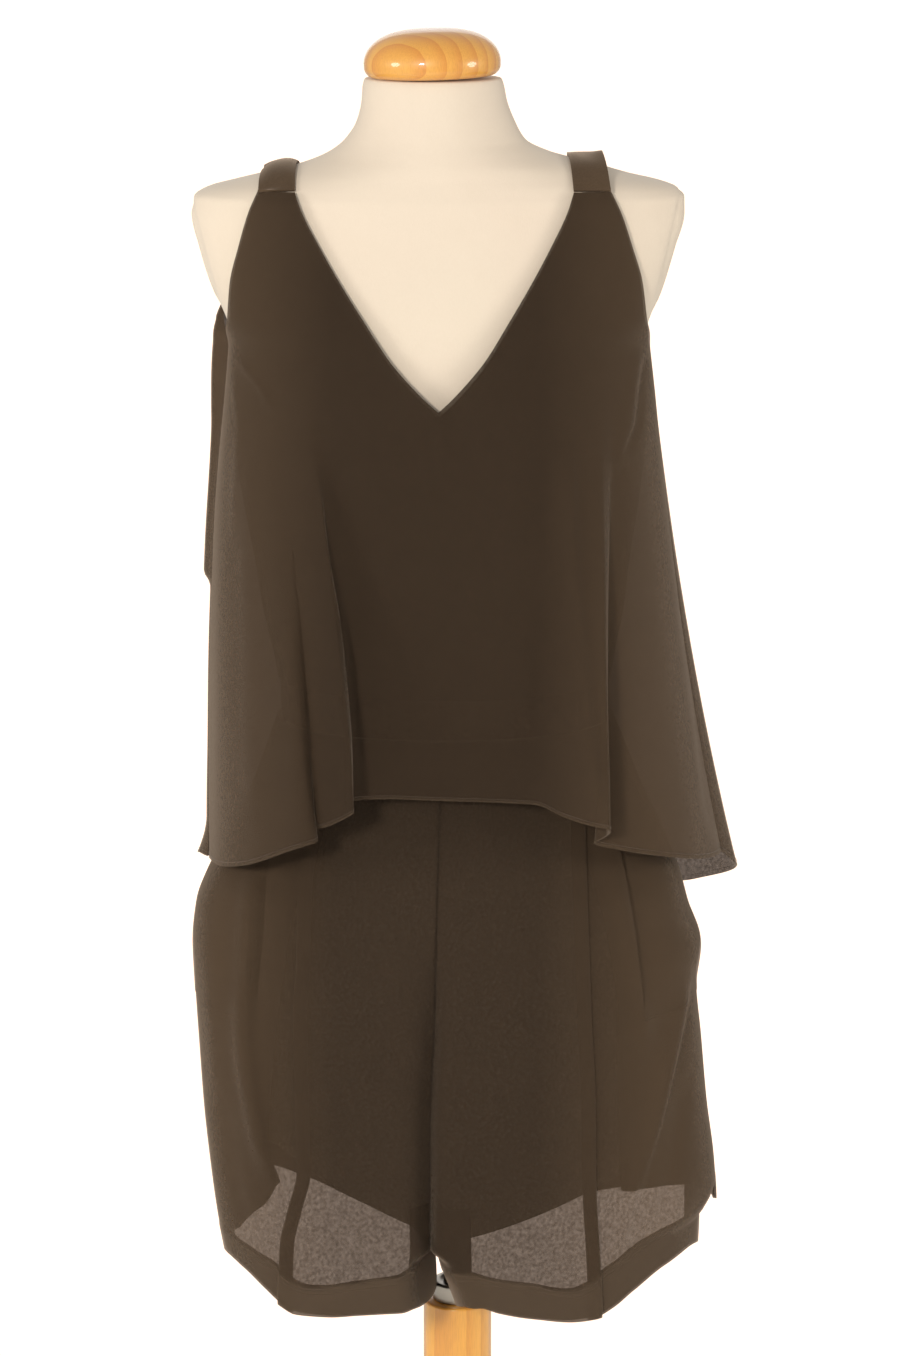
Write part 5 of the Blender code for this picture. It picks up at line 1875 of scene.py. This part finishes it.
    def front(self, side: Side) -> tuple[Stretch, Stretch, Stretch]:
        """Build a front: its main part up to the slit, the hip below the slit's end, the hip above."""
        facing = Facing.FRONT
        lower = stops(POCKET_END - self.front_hem_near, self.step, fine_end=True)[:, None]
        guess = POCKET_END + (self.front_hem_near - POCKET_END) * lower
        _, below = self.laid(side, facing, guess, lower, lambda z: self.front_columns(side, z)[0])
        z = np.concatenate((self.rows_above(below.shape[1]), below[1:]))
        x, up = self.front_columns(side, z)
        lip = smooth((z - POCKET_END) / self.open_over)
        near_slit = smooth(1 - (self.SLIT[side](z) - x) / self.lip_wide)
        up = up + np.where(up > 0, 0, self.lip_up * lip * near_slit)
        main = self.dressed(side, facing, x, z, up)
        hip_share = np.sin(np.linspace(0, 1, self.hip_columns)[None, :] * np.pi / 2)

        def hip(z: Array, tucked: Array | float = 0.0) -> Array:
            """Return x of the hip's columns, from the slit or behind it to the side seam."""
            begin = self.SLIT[side](z) - tucked
            return begin + (self.half_width(side, facing, z) - begin) * hip_share

        x_hip, z_hip = self.laid(side, facing, below[:, -1:], lower, hip)
        low_hip = self.dressed(side, facing, x_hip, z_hip, 0 * x_hip)
        z_up = self.rows_above(self.hip_columns)
        opened = smooth((z_up - POCKET_END) / self.open_over)
        x_up = hip(z_up, self.tuck * opened)
        inset = smooth(1 - (x_up - self.SLIT[side](z_up) - self.slit_roll) / self.tuck_over)
        high_hip = self.dressed(side, facing, x_up, z_up, -self.tuck_in * opened * inset)
        last = main.points.shape[0] - len(lower)
        low_hip.points[:, 0] = main.points[last:, -1]
        high_hip.points[-1] = low_hip.points[0]
        return main, low_hip, high_hip

    def dressed(self, side: Side, facing: Facing, x: Array, z: Array, up: Array) -> Stretch:
        """Turn columns into cloth: carry them round the body and lay its creases in.

        Args:
            side: Left or right.
            facing: Front or back.
            x: Distance outwards from the centre.
            z: The heights.
            up: Height off the plain surface.

        Returns:
            The stretch of cloth, upright.
        """
        y = self.depth(side, facing, x, z)
        plain = Stretch(stack(side.value * x, y, z), -side.value * facing.value)
        outward = self.outward(side, facing, x, z)
        world = side.value * x
        creases = self.CREASES[side] if facing is Facing.FRONT else self.BACK_CREASES
        place = world if facing is Facing.FRONT else x
        push = sum(crease.at(place, z) for crease in creases)
        half = self.half_width(side, facing, z)
        begin = side.value * self.leg[side](z)
        clear = smooth((half - x) / self.crease_fade) * smooth((x - begin) / self.crease_fade)
        seam = np.exp(-((x - begin) / self.seam_wide) ** 2) * self.seam_deep
        if facing is Facing.FRONT:
            (top, top_fade), (foot, foot_fade) = self.cleft_top, self.cleft_foot
            deep = self.cleft * smooth((top - z) / top_fade) * smooth((z - foot) / foot_fade)
            seam = seam + deep * np.exp(-((x - begin) / self.cleft_wide[side.place]) ** 2)
        push = push + self.uneven * ripple(world, z, CLOTH_WAVES)
        plain.points = plain.points + outward * (push * clear + up)[..., None]
        plain.points[..., 1] -= facing.value * seam
        share = self.share(side, facing, x, z)
        turned = self.hem(side, facing, share) + self.turned_up(side, facing, share)
        plain.edge = self.band_light * smooth((turned - z) / self.band_blend + 0.5)
        return plain

    def outward(self, side: Side, facing: Facing, x: Array, z: Array) -> Array:
        """Return the plain surface's outward direction, from its slopes."""
        small = 0.0008
        half = self.half_width(side, facing, z)
        low, inside = np.clip(x - small, None, half - 2 * small), np.minimum(x, half - small)
        rise_x = self.depth(side, facing, low + 2 * small, z) - self.depth(side, facing, low, z)
        rise_z = self.depth(side, facing, inside, z + small) - self.depth(side, facing, inside, z - small)
        steepest_x, steepest_z = self.steepest
        slope_x = np.clip(rise_x / (2 * small), -steepest_x, steepest_x)
        slope_z = np.clip(rise_z / (2 * small), -steepest_z, steepest_z)
        sign = facing.value
        normal = stack(-sign * side.value * slope_x, np.full_like(slope_x, sign), -sign * slope_z)
        return normal / np.linalg.norm(normal, axis=-1, keepdims=True)

    def back(self, side: Side) -> Stretch:
        """Build a back from the waist to its hem."""
        facing = Facing.BACK
        lower = stops(POCKET_END - self.back_hem_near, self.step, fine_end=True)[:, None]
        share = np.linspace(0, 1, self.back_columns)[None, :]
        below = POCKET_END + (self.hem(side, facing, share) - POCKET_END) * lower
        z = np.concatenate((self.rows_above(self.back_columns), below[1:]))
        x = self.at_share(side, facing, share, z)
        return self.dressed(side, facing, x, z, 0 * x)

    def lined(self, side: Side, facing: Facing) -> Stretch:
        """Build the inner layer of a quarter's turned-up hem."""
        share = np.linspace(0, 1, 60)[None, :]
        rise = np.linspace(1.0, 0.0, 12)[:, None]
        z = self.hem(side, facing, share) + 0.0004 + self.turned_up(side, facing, share) * rise
        x = self.at_share(side, facing, share, z)
        return self.dressed(side, facing, x, z, -self.lining_in + 0 * x)

    def turned_up(self, side: Side, facing: Facing, share: Array) -> Array:
        """Return how wide the turned-up hem is at each share of a quarter."""
        return self.TURN_UP[side](share) if facing is Facing.FRONT else self.back_turn_up + 0 * share

    def allowance(self, side: Side, facing: Facing) -> Stretch:
        """Build the seam allowance that lies inside along the centre and inner leg seam."""
        def across(z: Array) -> Array:
            """Return x of the allowance's columns."""
            begin = side.value * self.leg[side](z) + 0.0008
            end = begin + self.back_allowance
            if facing is Facing.FRONT:
                end = self.front_allowance_ends[side.place]
            return begin + (end - begin) * np.linspace(0, 1, 6)[None, :]

        return self.turned_in(side, facing, self.inner_allowance_top, 32, across)

    def at_side(self, side: Side) -> Stretch:
        """Build the seam allowance that lies inside a front along its side seam."""
        begin = self.side_allowance_from[side.place]

        def across(z: Array) -> Array:
            """Return x of the allowance's columns."""
            end = self.half_width(side, Facing.FRONT, z) - 0.0006
            return begin + (end - begin) * np.sin(np.linspace(0, np.pi / 2, 8))[None, :]

        return self.turned_in(side, Facing.FRONT, self.side_allowance_top, 40, across)

    def turned_in(self, side: Side, facing: Facing, top: float, rows: int,
                  across: Callable[[Array], Array]) -> Stretch:
        """Build a strip of seam allowance inside a quarter, from a height down to just over its hem."""
        level = np.linspace(0.0, 1.0, rows)[:, None]
        x, z = self.laid(side, facing, top + (CROTCH - top) * level, level, across, self.allowance_foot)
        return self.dressed(side, facing, x, z, -self.allowance_in + 0 * x)

    def bag(self, side: Side) -> list[Stretch]:
        """Build the two layers of the pocket bag that hangs inside the front."""
        share = np.sin(np.linspace(0, 1, self.bag_columns)[None, :] * np.pi / 2)
        level = np.linspace(0, 1, self.bag_rows)[:, None]
        z = np.linspace(self.bag_top, self.bag_foot_near, self.bag_rows)[:, None]
        for _ in range(self.passes):
            inner = self.BAG_EDGE[side](z)
            x = inner + (self.half_width(side, Facing.FRONT, z) - self.bag_clear - inner) * share
            z = self.bag_top + (self.BAG[side](x) - self.bag_top) * level
        return [self.dressed(side, Facing.FRONT, x, z, -depth + 0 * z) for depth in self.bag_in]

    def quarter(self, side: Side, facing: Facing, cloth: Material) -> None:
        """Build one quarter with its turned-up hem and allowance, and in front its pocket."""
        label = side.name.lower()
        name = f"shorts_{facing.name.lower()}_{label}"
        if facing is Facing.FRONT:
            main, low_hip, high_hip = self.front(side)
            upper = smooth((main.points[..., 2] - POCKET_END) / 0.004)
            main.rolled(Border.LAST, upper * self.slit_light, self.slit_roll)
            outer, beside, cut = [main, low_hip], [self.at_side(side)], self.front_cut
        else:
            outer, beside, cut = [self.back(side)], [], self.back_cut
        outer = [stretch.rolled(Border.HEM, 1.0, self.roll) for stretch in outer]
        inner = [self.lined(side, facing), self.allowance(side, facing), *beside]
        stretches = [stretch.leaning() for stretch in outer + inner]
        piece = carried(make_cloth(f"{name}_cloth", stretches, cloth), "georgette", name)
        cut.declare(piece, ("form_torso", "waistband"))
        if facing is Facing.FRONT:
            pocket = f"pocket_back_{label}"
            layers = [stretch.leaning() for stretch in (high_hip, *self.bag(side))]
            piece = carried(make_cloth(f"{pocket}_cloth", layers, cloth), "georgette", pocket)
            self.pocket_cut.declare(piece, ("form_torso", "waistband", name))

    def hem_lines(self, side: Side) -> list[Array]:
        """Return the lines of stitches round a leg, at the upper edge of its turned-up hem."""
        lines = []
        for facing in Facing:
            share = np.linspace(0.01, 0.99, 150)[None, :]
            for below in self.stitch_below:
                z = self.hem(side, facing, share) + self.turned_up(side, facing, share) - below
                x = self.at_share(side, facing, share, z)
                up = np.full_like(x, WALL / 2 + 0.00005)
                if facing is Facing.FRONT:
                    fold = self.PLEAT[side](z)
                    up += np.where(x <= fold, self.pleat_up(fold, x), 0)
                lines.append(leaned(self.dressed(side, facing, x, z, up).points[0]))
        return lines

    def build(self, cloth: Material, thread: Material) -> None:
        """Build the four quarters, the pockets and the stitches of both legs."""
        for side in Side:
            for facing in Facing:
                self.quarter(side, facing, cloth)
            name = f"leg_stitches_{side.name.lower()}"
            carried(self.stitch.along(name, self.hem_lines(side), thread), "georgette")


# ---- the studio


@dataclass
class Studio:
    """A pale floor, soft even light and the camera."""

    camera_place: tuple[float, float, float] = (-0.0043, -2.9, 1.64)
    camera_tilt: float = math.radians(77.2)
    lens: float = 103.88
    white: Colour = (1.6, 1.26, 1.04)
    fill: float = 0.52
    floor_radius: float = 14.0
    near: float = 0.35
    far: float = 1.1

    def camera(self) -> None:
        """Set the camera up."""
        data = bpy.data.cameras.new("camera")
        data.lens = self.lens
        data.sensor_width = 36.0
        data.sensor_fit = "AUTO"
        camera = place_object("camera", data)
        camera.location = self.camera_place
        camera.rotation_euler = (self.camera_tilt, 0.0, 0.0)
        bpy.context.scene.camera = camera

    def lamp(self, name: str, place: Sequence[float], target: Sequence[float], size: float,
             power: float, colour: Colour = (1.0, 1.0, 1.0)) -> None:
        """Hang a soft round light that looks at a target."""
        data = bpy.data.lights.new(name, "AREA")
        data.shape = "DISK"
        data.size = size
        data.energy = power
        data.color = colour
        lamp = place_object(name, data)
        lamp.location = place
        lamp.rotation_euler = (Vector(target) - Vector(place)).to_track_quat("-Z", "Y").to_euler()

    def world(self) -> None:
        """Light the scene evenly, and brighter still where the camera looks past everything."""
        world = bpy.data.worlds.new("studio")
        world.use_nodes = True
        tree = world.node_tree
        even = tree.nodes["Background"]
        even.inputs["Strength"].default_value = self.fill
        even.inputs["Color"].default_value = (1.0, 1.0, 1.0, 1.0)
        bright = tree.nodes.new("ShaderNodeBackground")
        bright.inputs["Color"].default_value = (*self.white, 1.0)
        path, mix = tree.nodes.new("ShaderNodeLightPath"), tree.nodes.new("ShaderNodeMixShader")
        tree.links.new(path.outputs["Is Camera Ray"], mix.inputs["Fac"])
        tree.links.new(even.outputs["Background"], mix.inputs[1])
        tree.links.new(bright.outputs["Background"], mix.inputs[2])
        tree.links.new(mix.outputs["Shader"], tree.nodes["World Output"].inputs["Surface"])
        bpy.context.scene.world = world

    def floor(self) -> None:
        """Lay a pale floor that takes a soft shadow near the stand and whitens further out."""
        bpy.ops.mesh.primitive_circle_add(vertices=96, radius=self.floor_radius, fill_type="NGON",
                                          location=(0, 0, -0.0004))
        floor = bpy.context.object
        floor.name = "studio_floor"
        nodes = Nodes("studio_floor")
        glow = nodes.add("ShaderNodeEmission", {"Color": (*self.white, 1.0)}).outputs["Emission"]
        where = nodes.add("ShaderNodeTexCoord", {}).outputs["Object"]
        away = nodes.add("ShaderNodeVectorMath", {0: where}, operation="LENGTH").outputs["Value"]
        outer = nodes.add("ShaderNodeMapRange", {"Value": away, "From Min": self.near, "From Max": self.far})
        seen = nodes.add("ShaderNodeLightPath", {}).outputs["Is Camera Ray"]
        share = nodes.math("MULTIPLY", outer.outputs["Result"], seen)
        mix = nodes.add("ShaderNodeMixShader", {0: share, 1: nodes.shader.outputs["BSDF"], 2: glow})
        nodes.put(nodes.tree.nodes["Material Output"].inputs["Surface"], mix.outputs["Shader"])
        floor.data.materials.append(nodes.finish(Base_Color=(0.93, 0.93, 0.92, 1.0), Roughness=0.9))

    def build(self) -> None:
        """Set up the whole studio."""
        scene = bpy.context.scene
        scene.view_settings.view_transform = "Standard"
        scene.cycles.transparent_max_bounces = 32
        self.camera()
        self.world()
        self.floor()
        chest = (0.0, 0.0, 0.95)
        self.lamp("key", (-0.95, -3.1, 2.0), chest, 0.45, 58.0, (1.0, 0.96, 0.9))
        self.lamp("window", (-2.7, -1.3, 1.7), chest, 0.9, 26.0, (1.0, 0.97, 0.93))
        self.lamp("right", (2.6, -1.0, 1.5), chest, 0.9, 26.0, (1.0, 0.96, 0.9))
        self.lamp("back", (0.0, 3.0, 1.6), (0.0, 0.0, 0.9), 2.4, 12.0)


def main() -> None:
    """Build every piece in order and set the scene up."""
    logging.basicConfig(level=logging.INFO, format="%(name)s: %(message)s")
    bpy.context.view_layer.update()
    cloth, thread = Georgette().material(), Thread().material()
    # The straps' cloth is doubled and opaque; its lighter colour is painted light on the shoulders.
    strap_doubled_painted_light = Georgette(colour=(0.056, 0.0354, 0.0203), raised=(0.085, 0.055, 0.032), cover=0.97,
                        cover_spread=0.03).material("georgette_doubled_painted_light")
    gathered = Georgette(cover=0.97, cover_spread=0.03).material("georgette_gathered")
    column_wood = Pine(ring=0.011, pith=(0.04, 0.03, 0.0), contrast=0.55)
    base_wood = Pine(ring=0.013, grain=Grain.FLAT, pith=(0.0, 0.35, -0.1), contrast=0.6)
    cap_wood = Pine(pale=(0.804, 0.425, 0.075), ring=0.012, grain=Grain.ACROSS, pith=(-0.09, -0.12, 0.0))
    Stand().build(column_wood, base_wood, Steel())
    DressForm().build(Jersey(), cap_wood)
    Bodice().build(cloth)
    Straps().build(strap_doubled_painted_light, thread)
    WaistCasing().build(gathered)
    Shorts().build(cloth, thread)
    LooseTop().build(cloth, thread)
    Studio().build()
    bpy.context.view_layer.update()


if __name__ == "__main__":
    main()
